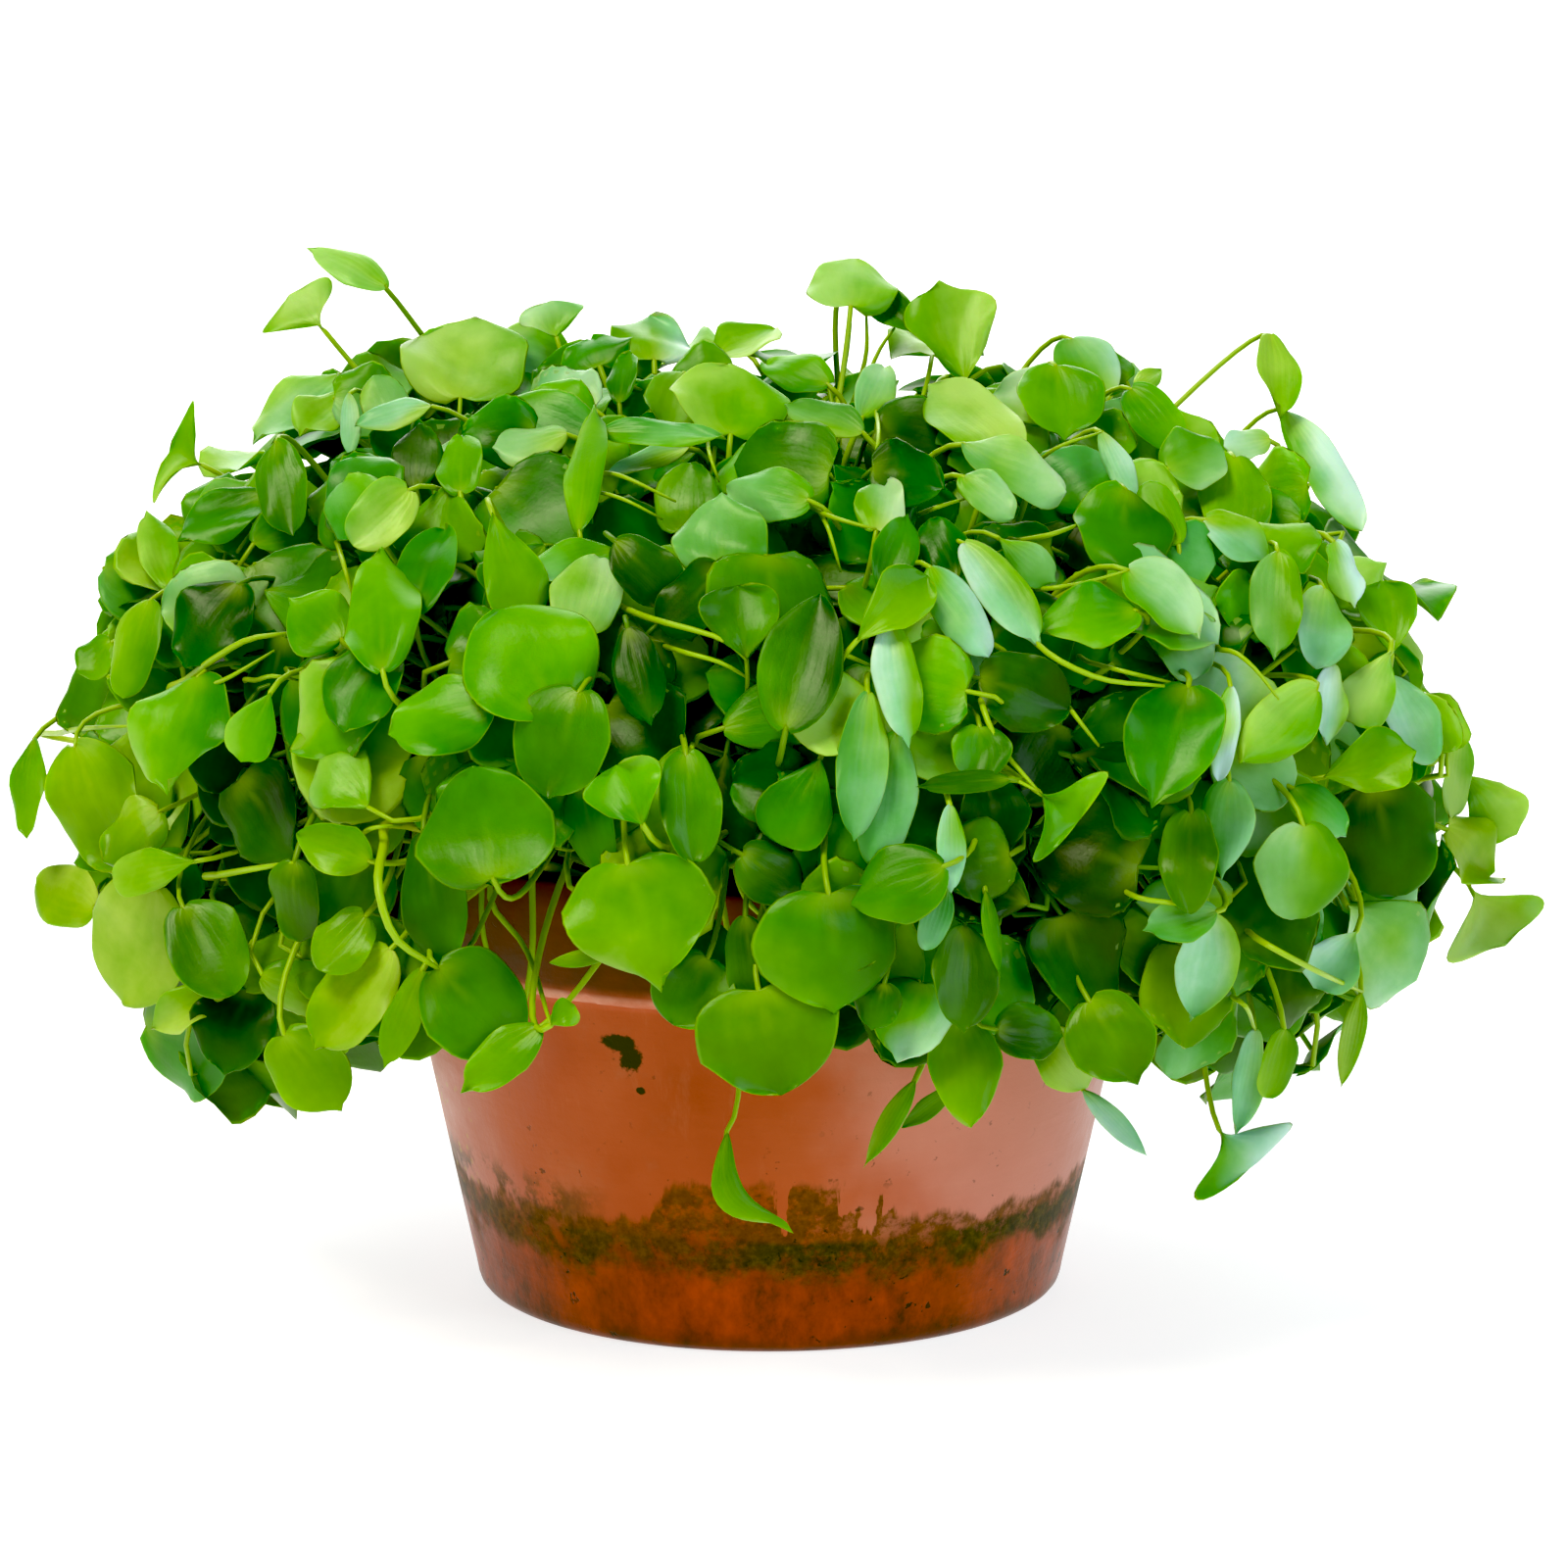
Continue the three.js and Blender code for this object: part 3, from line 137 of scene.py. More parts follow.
# Leaves that the photograph shows, from the front ones to those behind them: kind, base and tip in pixels of
# the photograph, width in pixels, and tone. deep, ahead, bow and via settle depth and bends as in the solids,
# dive takes the fine petiole that far in, behind the blades that hide it, and point draws out the fine tip.
SEEN_LEAVES = [
    # Silhouette, from the left over the top to the right
    seen("rhombic", (393, 288), (321, 244), 36, "pale", dive=45),
    seen("wing", (332, 338), (296, 300), 90, "pale"),
    seen("wing", (206, 474), (172, 462), 108, "bright"),
    seen("oval", (175, 600), (148, 522), 42, "bright"),
    seen("oval", (25, 754), (14, 848), 34, "lit"),
    seen("round", (97, 925), (24, 899), 66, "bright"),
    seen("round", (470, 406), (478, 320), 132, "pale"),
    seen("fan", (568, 344), (558, 309), 68, "milky_sheen"),
    seen("kidney", (612, 374), (600, 340), 78, "mid"),
    seen("kidney", (668, 368), (664, 313), 90, "strong_sheen"),
    seen("round", (738, 362), (791, 330), 44, "bright"),
    seen("round", (746, 444), (746, 370), 118, "bright"),
    seen("kidney", (868, 313), (872, 257), 92, "pale"),
    seen("oval", (872, 284), (935, 334), 36, "mid"),
    seen("fan", (985, 389), (962, 294), 94, "bright"),
    seen("round", (1094, 345), (1128, 403), 62, "strong_sheen"),
    seen("round", (1155, 396), (1202, 452), 50, "lit"),
    seen("oval", (1297, 340), (1309, 417), 40, "bright", via=(1262, 330)),
    seen("round", (1192, 478), (1249, 456), 66, "sheen"),
    seen("oval", (1314, 418), (1388, 533), 44, "whitest_sheen"),
    seen("oval", (1362, 552), (1384, 612), 34, "whitest_sheen"),
    seen("fan", (1420, 668), (1412, 594), 66, "lit"),
    seen("oval", (1418, 690), (1462, 776), 52, "strong_sheen"),
    seen("oval", (1494, 748), (1484, 830), 30, "pale"),
    seen("fan", (1496, 792), (1550, 848), 66, "bright"),
    seen("round", (1476, 846), (1533, 893), 54, "bright"),
    seen("wing", (1510, 903), (1544, 962), 118, "pale"),
    seen("lance", (1390, 1012), (1370, 1106), 26, "bright"),
    seen("wing", (1244, 1152), (1276, 1194), 124, "strong_sheen", ahead=62, via=(1204, 1084)),
    seen("oval", (1281, 1051), (1266, 1150), 34, "strong_sheen", ahead=66),
    seen("lance", (1105, 1112), (1169, 1178), 24, "strong_sheen", ahead=90),
    seen("lance", (742, 1154), (804, 1248), 32, "lit", ahead=116, bow=-0.3, via=(790, 1096)),
    seen("lance", (934, 1102), (884, 1186), 24, "bright", ahead=118),
    seen("lance", (976, 1106), (920, 1153), 22, "mid", ahead=112),
    seen("round", (290, 1056), (343, 1132), 80, "lit"),
    # Large blades on the face of the mound
    seen("kidney", (640, 884), (668, 999), 150, "lit", point=0.16),
    seen("kidney", (846, 913), (857, 1031), 152, "mid", point=0.06),
    seen("kidney", (774, 1012), (798, 1119), 150, "mid", point=0.03),
    seen("kidney", (503, 896), (480, 783), 140, "mid"),
    seen("round", (566, 722), (514, 615), 140, "lit"),
    seen("round", (500, 716), (398, 744), 78, "lit", deep=2),
    seen("round", (590, 706), (556, 810), 98, "mid", deep=4),
    seen("round", (586, 640), (612, 563), 74, "milky_sheen"),
    seen("oval", (640, 640), (662, 730), 52, "dark", deep=3),
    seen("fan", (656, 842), (628, 782), 86, "lit"),
    seen("round", (700, 770), (710, 878), 64, "mid"),
    seen("oval", (430, 990), (392, 1082), 36, "lit"),
    seen("round", (446, 988), (526, 1066), 108, "mid", deep=4),
    seen("oval", (551, 1048), (477, 1107), 50, "lit"),
    seen("oval", (398, 968), (320, 1062), 78, "bright", deep=3),
    seen("round", (372, 935), (326, 988), 58, "lit", deep=2),
    seen("oval", (392, 684), (386, 561), 80, "lit"),
    seen("round", (424, 622), (446, 530), 62, "mid", deep=4),
    seen("round", (416, 500), (360, 554), 62, "pale"),
    seen("kidney", (736, 578), (736, 505), 100, "sheen"),
    seen("round", (824, 510), (740, 492), 58, "sheen", deep=2),
    seen("fan", (762, 674), (752, 597), 86, "mid", deep=3),
    seen("rhombic", (802, 742), (836, 602), 88, "deep", point=0.02),
    seen("rhombic", (886, 738), (800, 709), 88, "pale", deep=2),
    seen("fan", (838, 772), (798, 862), 80, "mid", deep=2),
    seen("oval", (906, 635), (925, 750), 48, "strong_sheen"),
    seen("oval", (886, 707), (876, 850), 52, "cool", deep=3),
    seen("oval", (915, 748), (896, 882), 60, "cool"),
    seen("rhombic", (962, 884), (869, 921), 80, "mid"),
    seen("fan", (874, 654), (946, 586), 62, "lit", deep=-5),
    seen("round", (894, 541), (904, 483), 52, "milky_sheen"),
    seen("oval", (592, 543), (600, 410), 40, "lit"),
    seen("oval", (950, 578), (1009, 663), 48, "strong_sheen"),
    seen("oval", (984, 553), (1056, 645), 50, "strong_sheen", deep=2),
    seen("oval", (1036, 466), (951, 385), 72, "pale"),
    seen("oval", (984, 452), (1087, 497), 50, "milky_sheen"),
    seen("round", (1214, 700), (1178, 810), 98, "mid"),
    seen("rhombic", (1236, 936), (1225, 1041), 66, "strong_sheen"),
    seen("round", (1330, 843), (1329, 940), 95, "sheen"),
    seen("rhombic", (1256, 797), (1250, 891), 58, "cool"),
    seen("wing", (1060, 808), (1098, 838), 120, "lit"),
    seen("round", (1000, 692), (1094, 722), 80, "dark", deep=6),
    seen("fan", (1350, 793), (1439, 768), 68, "lit"),
    seen("rhombic", (1345, 704), (1272, 774), 66, "bright"),
    seen("oval", (1258, 700), (1246, 795), 28, "whitest_sheen"),
    seen("oval", (1305, 562), (1300, 660), 56, "sheen"),
    seen("oval", (1352, 600), (1347, 677), 60, "strong_sheen", deep=2),
    seen("fan", (1420, 664), (1380, 738), 60, "pale", deep=2),
    seen("rhombic", (1152, 582), (1224, 643), 64, "milky_sheen"),
    seen("rhombic", (1231, 530), (1297, 568), 44, "strong_sheen"),
    seen("round", (1262, 464), (1262, 553), 76, "lit", deep=3),
    seen("round", (1150, 498), (1150, 578), 98, "mid", deep=5),
    seen("round", (1158, 622), (1064, 640), 62, "lit", deep=3),
    seen("round", (1112, 1022), (1158, 1099), 90, "mid"),
    seen("oval", (985, 945), (986, 1045), 68, "deep"),
    seen("rhombic", (980, 1038), (992, 1148), 74, "lit", deep=2),
    seen("round", (200, 690), (166, 798), 94, "lit"),
    seen("round", (76, 762), (122, 888), 92, "lit", deep=2),
    seen("round", (158, 905), (112, 1026), 108, "bright", deep=2),
    seen("rhombic", (348, 652), (298, 612), 76, "lit"),
    seen("fan", (276, 706), (246, 774), 54, "lit"),
    seen("oval", (280, 450), (295, 541), 54, "mid"),
    seen("fan", (502, 522), (538, 628), 66, "lit"),
    # Smaller blades and those further in
    seen("round", (1078, 372), (1086, 445), 90, "lit", deep=6),
    seen("round", (844, 392), (778, 364), 42, "lit", deep=4),
    seen("lance", (1158, 398), (1185, 375), 24, "pale"),
    seen("oval", (1296, 448), (1251, 453), 32, "whitest_sheen"),
    seen("oval", (632, 412), (640, 358), 30, "mid", deep=6),
    seen("oval", (345, 380), (264, 441), 52, "milky_sheen", deep=4),
    seen("lance", (441, 414), (362, 430), 30, "strong_sheen"),
    seen("lance", (355, 400), (357, 464), 22, "strong_sheen"),
    seen("oval", (350, 400), (309, 441), 46, "bright", deep=3),
    seen("lance", (612, 440), (738, 443), 30, "sheen"),
    seen("lance", (702, 453), (620, 478), 24, "strong_sheen", deep=3),
    seen("oval", (578, 442), (506, 452), 42, "milky_sheen", deep=3),
    seen("round", (470, 502), (470, 440), 48, "lit", deep=3),
    seen("oval", (626, 560), (538, 582), 42, "sheen", deep=4),
    seen("oval", (628, 552), (692, 612), 62, "dark", deep=7),
    seen("round", (734, 582), (672, 642), 62, "dark", deep=7),
    seen("oval", (900, 600), (926, 528), 46, "mid", deep=4),
    seen("oval", (976, 590), (950, 528), 52, "deep", deep=7),
    seen("round", (1000, 652), (938, 640), 46, "sheen", deep=7),
    seen("fan", (1018, 548), (1074, 590), 42, "sheen", deep=4),
    seen("round", (984, 486), (1034, 525), 42, "milky_sheen", deep=4),
    seen("oval", (880, 426), (906, 368), 42, "milky_sheen", deep=5),
    seen("oval", (880, 441), (806, 408), 38, "sheen", deep=4),
    seen("oval", (1125, 440), (1156, 501), 28, "strong_sheen", deep=2),
    seen("oval", (267, 504), (190, 545), 54, "mid", deep=4),
    seen("round", (242, 596), (186, 673), 76, "dark", deep=7),
    seen("oval", (152, 612), (120, 706), 50, "lit", deep=3),
    seen("round", (113, 655), (80, 683), 40, "lit"),
    seen("round", (390, 662), (350, 742), 78, "mid", deep=5),
    seen("fan", (202, 878), (112, 896), 48, "bright"),
    seen("round", (162, 828), (104, 872), 62, "lit"),
    seen("rhombic", (226, 1010), (152, 1047), 46, "pale"),
    seen("round", (186, 926), (240, 1012), 82, "mid", deep=3),
    seen("round", (252, 1010), (226, 1089), 86, "dark", deep=5),
    seen("round", (300, 880), (300, 962), 54, "deep", deep=5),
    seen("rhombic", (376, 878), (302, 851), 54, "lit"),
    seen("oval", (432, 850), (452, 986), 66, "deep", deep=10),
    seen("round", (592, 800), (612, 889), 52, "mid", deep=8),
    seen("lance", (624, 974), (560, 983), 18, "lit", deep=3),
    seen("fan", (562, 1046), (586, 1026), 32, "lit", deep=3),
    seen("oval", (760, 935), (770, 1029), 50, "deep", deep=9),
    seen("round", (722, 978), (688, 1046), 84, "mid", deep=8),
    seen("round", (902, 1004), (890, 1048), 48, "deep", deep=5),
    seen("round", (758, 872), (820, 912), 62, "deep", deep=10),
    seen("oval", (1030, 795), (945, 800), 24, "deep", deep=2),
    seen("round", (1000, 742), (1002, 795), 62, "mid", deep=4),
    seen("oval", (970, 822), (973, 905), 30, "strong_sheen"),
    seen("oval", (966, 905), (945, 968), 32, "cool", deep=3),
    seen("lance", (1005, 908), (1019, 991), 18, "mid"),
    seen("round", (1018, 1050), (1083, 1056), 58, "deep", deep=3),
    seen("round", (1066, 1060), (1112, 1109), 58, "pale", deep=3),
    seen("round", (1216, 830), (1210, 926), 60, "mid", deep=4),
    seen("oval", (1242, 930), (1174, 946), 46, "cool", deep=3),
    seen("oval", (1320, 804), (1372, 849), 46, "cool", deep=3),
    seen("round", (1402, 800), (1430, 918), 112, "dark", deep=7),
    seen("oval", (1361, 678), (1360, 753), 38, "whitest_sheen", deep=3),
    seen("fan", (1386, 950), (1344, 1006), 62, "strong_sheen", deep=3),
    seen("oval", (1311, 1050), (1296, 1122), 38, "lit", deep=4),
]

# Leaves of the sides, back and top
RULED_COUNT = 163
GOLDEN_ANGLE = math.pi * (3 - math.sqrt(5))
RULED_LOWEST = -0.42
RULED_HIGHEST = 0.97
RULED_SEED = 41
RULED_LENGTHS = (17, 30)
FRONT_FACING = 0.12
RIDGE_LEAN = 0.36
LEAN_FADE = 2.6
RULED_DEPTHS = (-6, 1)
SPROUT_EVERY = 5
SPROUT_DEPTHS = (5, 13)
SPROUT_FACING = 0.3
SPROUT_WIDEST = 118
SPROUT_STEEPEST = 0.75
RULED_KINDS = ["round", "kidney", "rhombic", "round", "oval", "fan", "round", "rhombic", "oval"]

# Places that the solids tried for a leaf
INWARD_STEPS = 9
INWARD_BY = 2.4
BENDS = [(0, 0), (9, 0), (0, 10), (0, -10), (18, 0), (9, 16), (9, -16)]  # lift and sway of the petiole
MATCH = 0.06  # millimetres within which a predicted corner is a corner of the solid

UP = np.array([0.0, 0.0, 1.0])
LOOK = np.array([0.0, math.cos(VIEW_ELEVATION), -math.sin(VIEW_ELEVATION)])
RIGHT = np.array([1.0, 0.0, 0.0])
IMAGE_UP = np.array([0.0, math.sin(VIEW_ELEVATION), math.cos(VIEW_ELEVATION)])
EYE = VIEW_AIM - LOOK * VIEW_DISTANCE


# Small helpers


def unit(vector):
    return vector / np.linalg.norm(vector)


def make_draw(seed):
    """Numbers from low to high in the sequence that the solids use."""
    state = [(seed * 7919 + 101) % 2147483647]

    def following():
        state[0] = (state[0] * 16807) % 2147483647
        return state[0] / 2147483647

    following()
    following()
    return lambda low, high: low + (high - low) * following()


def pixel_ray(pixel):
    focal = PIXELS_PER_MM * VIEW_DISTANCE
    across = (pixel[0] - IMAGE_SIZE / 2) / focal
    up = (IMAGE_SIZE / 2 - pixel[1]) / focal
    return LOOK + RIGHT * across + IMAGE_UP * up


def mound_level(point):
    """Under 1 inside the mound, 1 on its face, over 1 outside."""
    across = (point[0] - MOUND_MIDDLE[0]) / MOUND_WIDTH
    along = (point[1] - MOUND_MIDDLE[1]) / MOUND_BREADTH
    rise = point[2] - MOUND_MIDDLE[2]
    up = abs(rise) / (MOUND_HEIGHT if rise > 0 else MOUND_DEPTH)
    return math.hypot(across, along) ** MOUND_POWER + up**MOUND_POWER


def mound_normal(point):
    step = 0.01
    slopes = []
    for axis in range(3):
        shift = np.zeros(3)
        shift[axis] = step
        slopes.append(mound_level(point + shift) - mound_level(point - shift))
    return unit(np.array(slopes))


def on_mound(ray):
    """Distance along the ray to the mound's face, or to the point that comes nearest to it."""
    reach = 200
    step = 4
    nearest = VIEW_DISTANCE
    t = VIEW_DISTANCE - reach
    while t <= VIEW_DISTANCE + reach:
        if mound_level(EYE + ray * t) < 1:
            outside, inside = t - step, t
            for _ in range(24):
                middle = (outside + inside) / 2
                if mound_level(EYE + ray * middle) < 1:
                    inside = middle
                else:
                    outside = middle
            return inside
        if mound_level(EYE + ray * t) < mound_level(EYE + ray * nearest):
            nearest = t
        t += step
    return nearest


def mound_face(outward):
    """Point of the mound's face in a direction from its middle."""
    near, far = 0.0, 260.0
    for _ in range(30):
        halfway = (near + far) / 2
        if mound_level(MOUND_MIDDLE + outward * halfway) < 1:
            near = halfway
        else:
            far = halfway
    return MOUND_MIDDLE + outward * near


# Leaves of the solids, worked out again by their rule


def seen_leaf(entry, index):
    draw = make_draw(index + 1)
    base, tip = entry["base"], entry["tip"]
    ray = pixel_ray(((base[0] + tip[0]) / 2, (base[1] + tip[1]) / 2))
    depth = (-entry["ahead"] - EYE[1]) / ray[1] if entry["ahead"] else on_mound(ray)
    face = EYE + ray * depth
    tilt = RIGHT * draw(-0.34, 0.34) + IMAGE_UP * draw(-0.2, 0.42)
    loose = 0.35 if entry["kind"] in ("fan", "wing") else 1
    normal = unit((mound_normal(face) * 0.5 + UP * 0.12 + tilt) * loose - LOOK * 0.6)
    mm_per_pixel = depth / (PIXELS_PER_MM * VIEW_DISTANCE)
    across = (tip[0] - base[0]) * mm_per_pixel
    up = (base[1] - tip[1]) * mm_per_pixel
    flat = RIGHT * across + IMAGE_UP * up
    size = np.linalg.norm(flat)
    lean = float(np.clip(-flat.dot(normal) / LOOK.dot(normal), -0.8 * size, 0.8 * size))
    axis = flat + LOOK * lean
    side = unit(np.cross(normal, axis))
    shown = abs(side.dot(RIGHT) * up - side.dot(IMAGE_UP) * across) / size
    length = np.linalg.norm(axis)
    axis = unit(axis)
    light, cool = TONES[entry["tone"]]
    return entry | dict(
        middle=EYE + ray * (depth + entry["deep"]),
        length=length,
        width=entry["wide"] * mm_per_pixel / max(shown, 0.7),
        axis=axis,
        normal=unit(np.cross(axis, side)),
        inward=LOOK,
        face_normal=mound_normal(face),
        twist=draw(-0.25, 0.25),
        via=EYE + pixel_ray(entry["via"]) * (depth + 6) if entry["via"] else None,
        segments=3,
        light=light,
        cool=cool,
    )


def spiral_place(index, count, lowest, highest, shift):
    """One of count places that wind up over the mound: its point, outward normal, and around and downhill."""
    sine = lowest + (highest - lowest) * (index + 0.5) / count
    turn = index * GOLDEN_ANGLE + shift
    cosine = math.sqrt(1 - sine * sine)
    face = mound_face(np.array([math.cos(turn) * cosine, math.sin(turn) * cosine, sine]))
    face_normal = mound_normal(face)
    around = np.array([-math.sin(turn), math.cos(turn), 0.0])
    return face, face_normal, around, unit(np.cross(face_normal, around))


def headed(normal, ahead, aside, heading):
    """Direction in a blade's plane, turned by heading from ahead towards aside."""
    rough = ahead * math.cos(heading) + aside * math.sin(heading)
    return unit(rough - normal * rough.dot(normal))


def ruled_leaf(index):
    draw = make_draw(RULED_SEED + index * 3)
    spiral = spiral_place(index, RULED_COUNT, RULED_LOWEST, RULED_HIGHEST, draw(-0.12, 0.12))
    face, face_normal, around, downhill = spiral
    facing = face_normal.dot(LOOK)
    lean = RIDGE_LEAN * max(0, 1 - LEAN_FADE * facing)
    heading = draw(-1.3, 1.3)
    tilt = around * draw(-0.48, 0.48) + downhill * draw(-0.25, 0.42)
    normal = unit(face_normal + UP * 0.25 + tilt - LOOK * lean)
    kind = RULED_KINDS[int(draw(0, len(RULED_KINDS)))]
    length = draw(*RULED_LENGTHS)
    sprouts = index % SPROUT_EVERY == 2 and facing > SPROUT_FACING
    sprouts = sprouts and face[1] < SPROUT_WIDEST and face_normal[2] < SPROUT_STEEPEST
    middle = face + face_normal * draw(*(SPROUT_DEPTHS if sprouts else RULED_DEPTHS))
    return dict(
        kind=kind,
        middle=middle,
        length=length,
        width=length * (draw(0.5, 0.75) if kind == "oval" else draw(0.9, 1.3)),
        axis=headed(normal, -downhill, around, heading),
        normal=normal,
        inward=-face_normal,
        face_normal=face_normal,
        bow=0,
        twist=draw(-0.4, 0.4),
        via=None,
        segments=2,
        light=draw(0.35, 0.95),
        cool=max(0.0, draw(-0.5, 0.6)),
        hidden=facing > -FRONT_FACING,
    )


def widest_at(leaf):
    """How far along a blade it is widest."""
    kind = KINDS[leaf["kind"]]
    return kind["base"] / (kind["base"] + kind["tip"])


def half_width(leaf, u):
    kind, widest = KINDS[leaf["kind"]], widest_at(leaf)
    most = widest ** kind["base"] * (1 - widest) ** kind["tip"]
    return leaf["width"] / 2 * u ** kind["base"] * (1 - u) ** kind["tip"] / most


def blade_point(leaf, u, v):
    """Points of a blade's middle surface, with u from base to tip and v from -1 to 1 across."""
    kind = KINDS[leaf["kind"]]
    side = np.cross(leaf["normal"], leaf["axis"])
    u, v = np.broadcast_arrays(np.asarray(u, float), np.asarray(v, float))
    across = half_width(leaf, u) * v
    turn = leaf["twist"] * (u - 0.5)
    along = leaf["length"] * (u - kind["sweep"] * v * v * (1 - u))
    sideways = across * np.cos(turn) + leaf["bow"] * leaf["length"] * np.sin(np.pi * u)
    curl = kind["curl"] * leaf["length"] * u * u
    lift = across * np.sin(turn) - kind["cup"] * np.abs(across * v) - curl
    base = leaf["middle"] - leaf["axis"] * leaf["length"] / 2
    parts = [along[..., None] * leaf["axis"], sideways[..., None] * side, lift[..., None] * leaf["normal"]]
    return base + parts[0] + parts[1] + parts[2]


def petiole_controls(leaf, place, bend):
    """Bezier points of the petiole from the crown to the blade."""
    end = blade_point(leaf, 0, 0)
    crown = np.array([place[0], place[1], SOIL_TOP + SOIL_DOME + GAP + CROWN_HEIGHT * 0.3])
    away = end - crown
    reach = np.linalg.norm(away)
    rise = max(away[2], math.hypot(away[0], away[1]) * 0.55)
    start = unit(np.array([away[0], away[1], rise]))
    root = crown + start * (CROWN_RADIUS - ROOT_SINK)
    first = root + start * ((reach - CROWN_RADIUS) * 0.42)
    if end[2] < POT_HEIGHT + 30 and math.hypot(end[0], end[1]) > 80:
        outward = max(1.0, (RIM_RADIUS + 14) / math.hypot(first[0], first[1]))
        arch = POT_HEIGHT + 38 + min(max(POT_HEIGHT - end[2], 0), 80) * 0.5
        first = np.array([first[0] * outward, first[1] * outward, max(first[2], arch)])
    first = first + UP * bend[0] + unit(np.cross(start, UP)) * bend[1]
    back = min(reach * 0.32, 20)
    second = leaf["via"]
    if second is None:
        second = end - leaf["axis"] * back - leaf["normal"] * back * 0.6
    return [root, first, second, end]


def bezier(controls, t):
    t = np.asarray(t, float)[..., None]
    a, b, c, d = controls
    return a * (1 - t) ** 3 + b * 3 * t * (1 - t) ** 2 + c * 3 * t * t * (1 - t) + d * t**3


def blade_corners(leaf):
    """Corners of the solid's blade: rows of three on each face, then the tip."""
    rows = 3 if leaf["width"] > 17 else 2 if leaf["width"] > 9.5 else 1
    widest = widest_at(leaf)
    stations = {
        1: [widest],
        2: [widest * 0.7, widest + (1 - widest) * 0.5],
        3: [widest * 0.4, widest, widest + (1 - widest) * 0.62],
    }[rows]
    middle = [blade_point(leaf, u, v) for u in stations for v in (-1, 0, 1)] + [blade_point(leaf, 1, 0)]
    half = leaf["normal"] * LEAF_THICKNESS / 2
    return rows, [point + half for point in middle] + [point - half for point in middle]


# Where each leaf stands in the solids


def crown_places():
    places = {"middle": (0.0, 0.0)}
    for i, name in enumerate(RING_NAMES):
        angle = i * math.pi / 3
        places[name] = (RING_RADIUS * math.cos(angle), RING_RADIUS * math.sin(angle))
    return places


def corners_of(node):
    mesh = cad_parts[node].data
    tree = kdtree.KDTree(len(mesh.vertices))
    for vertex in mesh.vertices:
        tree.insert(vertex.co / MM, vertex.index)
    tree.balance()
    return tree


def bend_in(leaf, place, tree, segments):
    """The bend with which the plant's solid carries the leaf's petiole."""
    best = (0, BENDS[0])
    for bend in BENDS:
        controls = petiole_controls(leaf, place, bend)
        hits = 0
        for ring in range(1, segments):
            t = ring / segments
            radius = PETIOLE_RADIUS + (ROOT_RADIUS - PETIOLE_RADIUS) * (1 - t)
            near = tree.find_n(Vector(bezier(controls, t)), 3)
            hits += sum(abs(distance - radius) < MATCH for _, _, distance in near)
        if hits > best[0]:
            best = (hits, bend)
    return best[1]


def placed_leaf(leaf, places, trees):
    """The leaf where the solids have it, with its plant and bend, or None if they left it out."""
    best = None
    for step in range(INWARD_STEPS):
        moved = dict(leaf, middle=leaf["middle"] + leaf["inward"] * INWARD_BY * step)
        rows, corners = blade_corners(moved)
        for plant, tree in trees.items():
            hits = sum(tree.find(Vector(corner))[2] < MATCH for corner in corners)
            if hits >= 3 and (best is None or hits > best[0]):
                segments = leaf["segments"] if rows > 1 else 2
                bend = bend_in(moved, places[plant], tree, segments)
                best = (hits, dict(moved, plant=plant, bend=bend))
    return best and best[1]


def leaves_of_the_solids(places):
    trees = {plant: corners_of("miners_lettuce_" + plant) for plant in places}
    leaves = [seen_leaf(entry, index) for index, entry in enumerate(SEEN_LEAVES)]
    ruled = [ruled_leaf(index) for index in range(RULED_COUNT)]
    leaves += [leaf for leaf in ruled if leaf["hidden"]]
    placed = [placed_leaf(leaf, places, trees) for leaf in leaves]
    return [leaf for leaf in placed if leaf], [leaf for leaf, found in zip(leaves, placed) if not found]


# Filling leaves behind and between the outer ones: how many are tried, their depth in the mound where they
# face the viewer and elsewhere, length, lightness, which is lower in the deeper layers as painted shade, and
# seed
LAYERS = [
    dict(count=1000, front=(3, 13), depth=(1, 9), lengths=(16, 30), light=(0.3, 0.85), seed=3001),
    dict(count=620, front=(13, 24), depth=(9, 22), lengths=(19, 30), light=(0.1, 0.5), seed=7001),
    dict(count=420, front=(24, 42), depth=(22, 42), lengths=(17, 27), light=(0.0, 0.25), seed=12001),
]
OUTER_DEPTH = LAYERS[1]["front"][0]  # under which a filler belongs to the outer ones
FILLER_KINDS = ["round", "kidney", "rhombic", "round", "kidney", "fan", "oval"]
LOWEST_FILLER = -0.52  # sine of the elevation
HIGHEST_FILLER = 0.98
CLEAR_SIDEWAYS = 0.6  # least distance between two blades in one plane, as a share of their radii
CLEAR_ABOVE = 3.2  # distance in millimetres at which one blade may lie over another
CREST_DEPTH = (-7, 6)  # of the outer fillers along the top, as seen by the viewer
SHOWN_FACING = 0.2  # most that the mound's normal points along the view where its fillers may show
TOP_FACING = 0.45  # and most that it points along or against the view at the top
TOP_STEEPNESS = 0.7  # least rise of the normal where the outer fillers lie along the top
LIT_STEEPNESS = 0.6  # and where all fillers are lighter
SHEEN_SHARE = 0.75  # of the fillers at the far right that have a bluish sheen
SHEEN_COOL = 0.6

# Fillers right under the upper edge, placed in the photograph's plane: how far down from that edge and how
# far behind the mound's face they lie
CREST_FILL = dict(count=560, across=(120, 1460), down=(22, 160), depth=(-8, 16), lengths=(16, 29))
# Their lightness runs higher than in the layers, as painted light on the top of the foliage
CREST_FILL |= dict(light=(0.4, 0.92), seed=5003)
COVER_SHARE = 0.75  # of a filler's radius, by which it must keep clear of a seen leaf in the photograph
COVER_BEHIND = 7.5  # millimetres by which it otherwise lies behind that leaf
DEEPEST_PUSH = 28

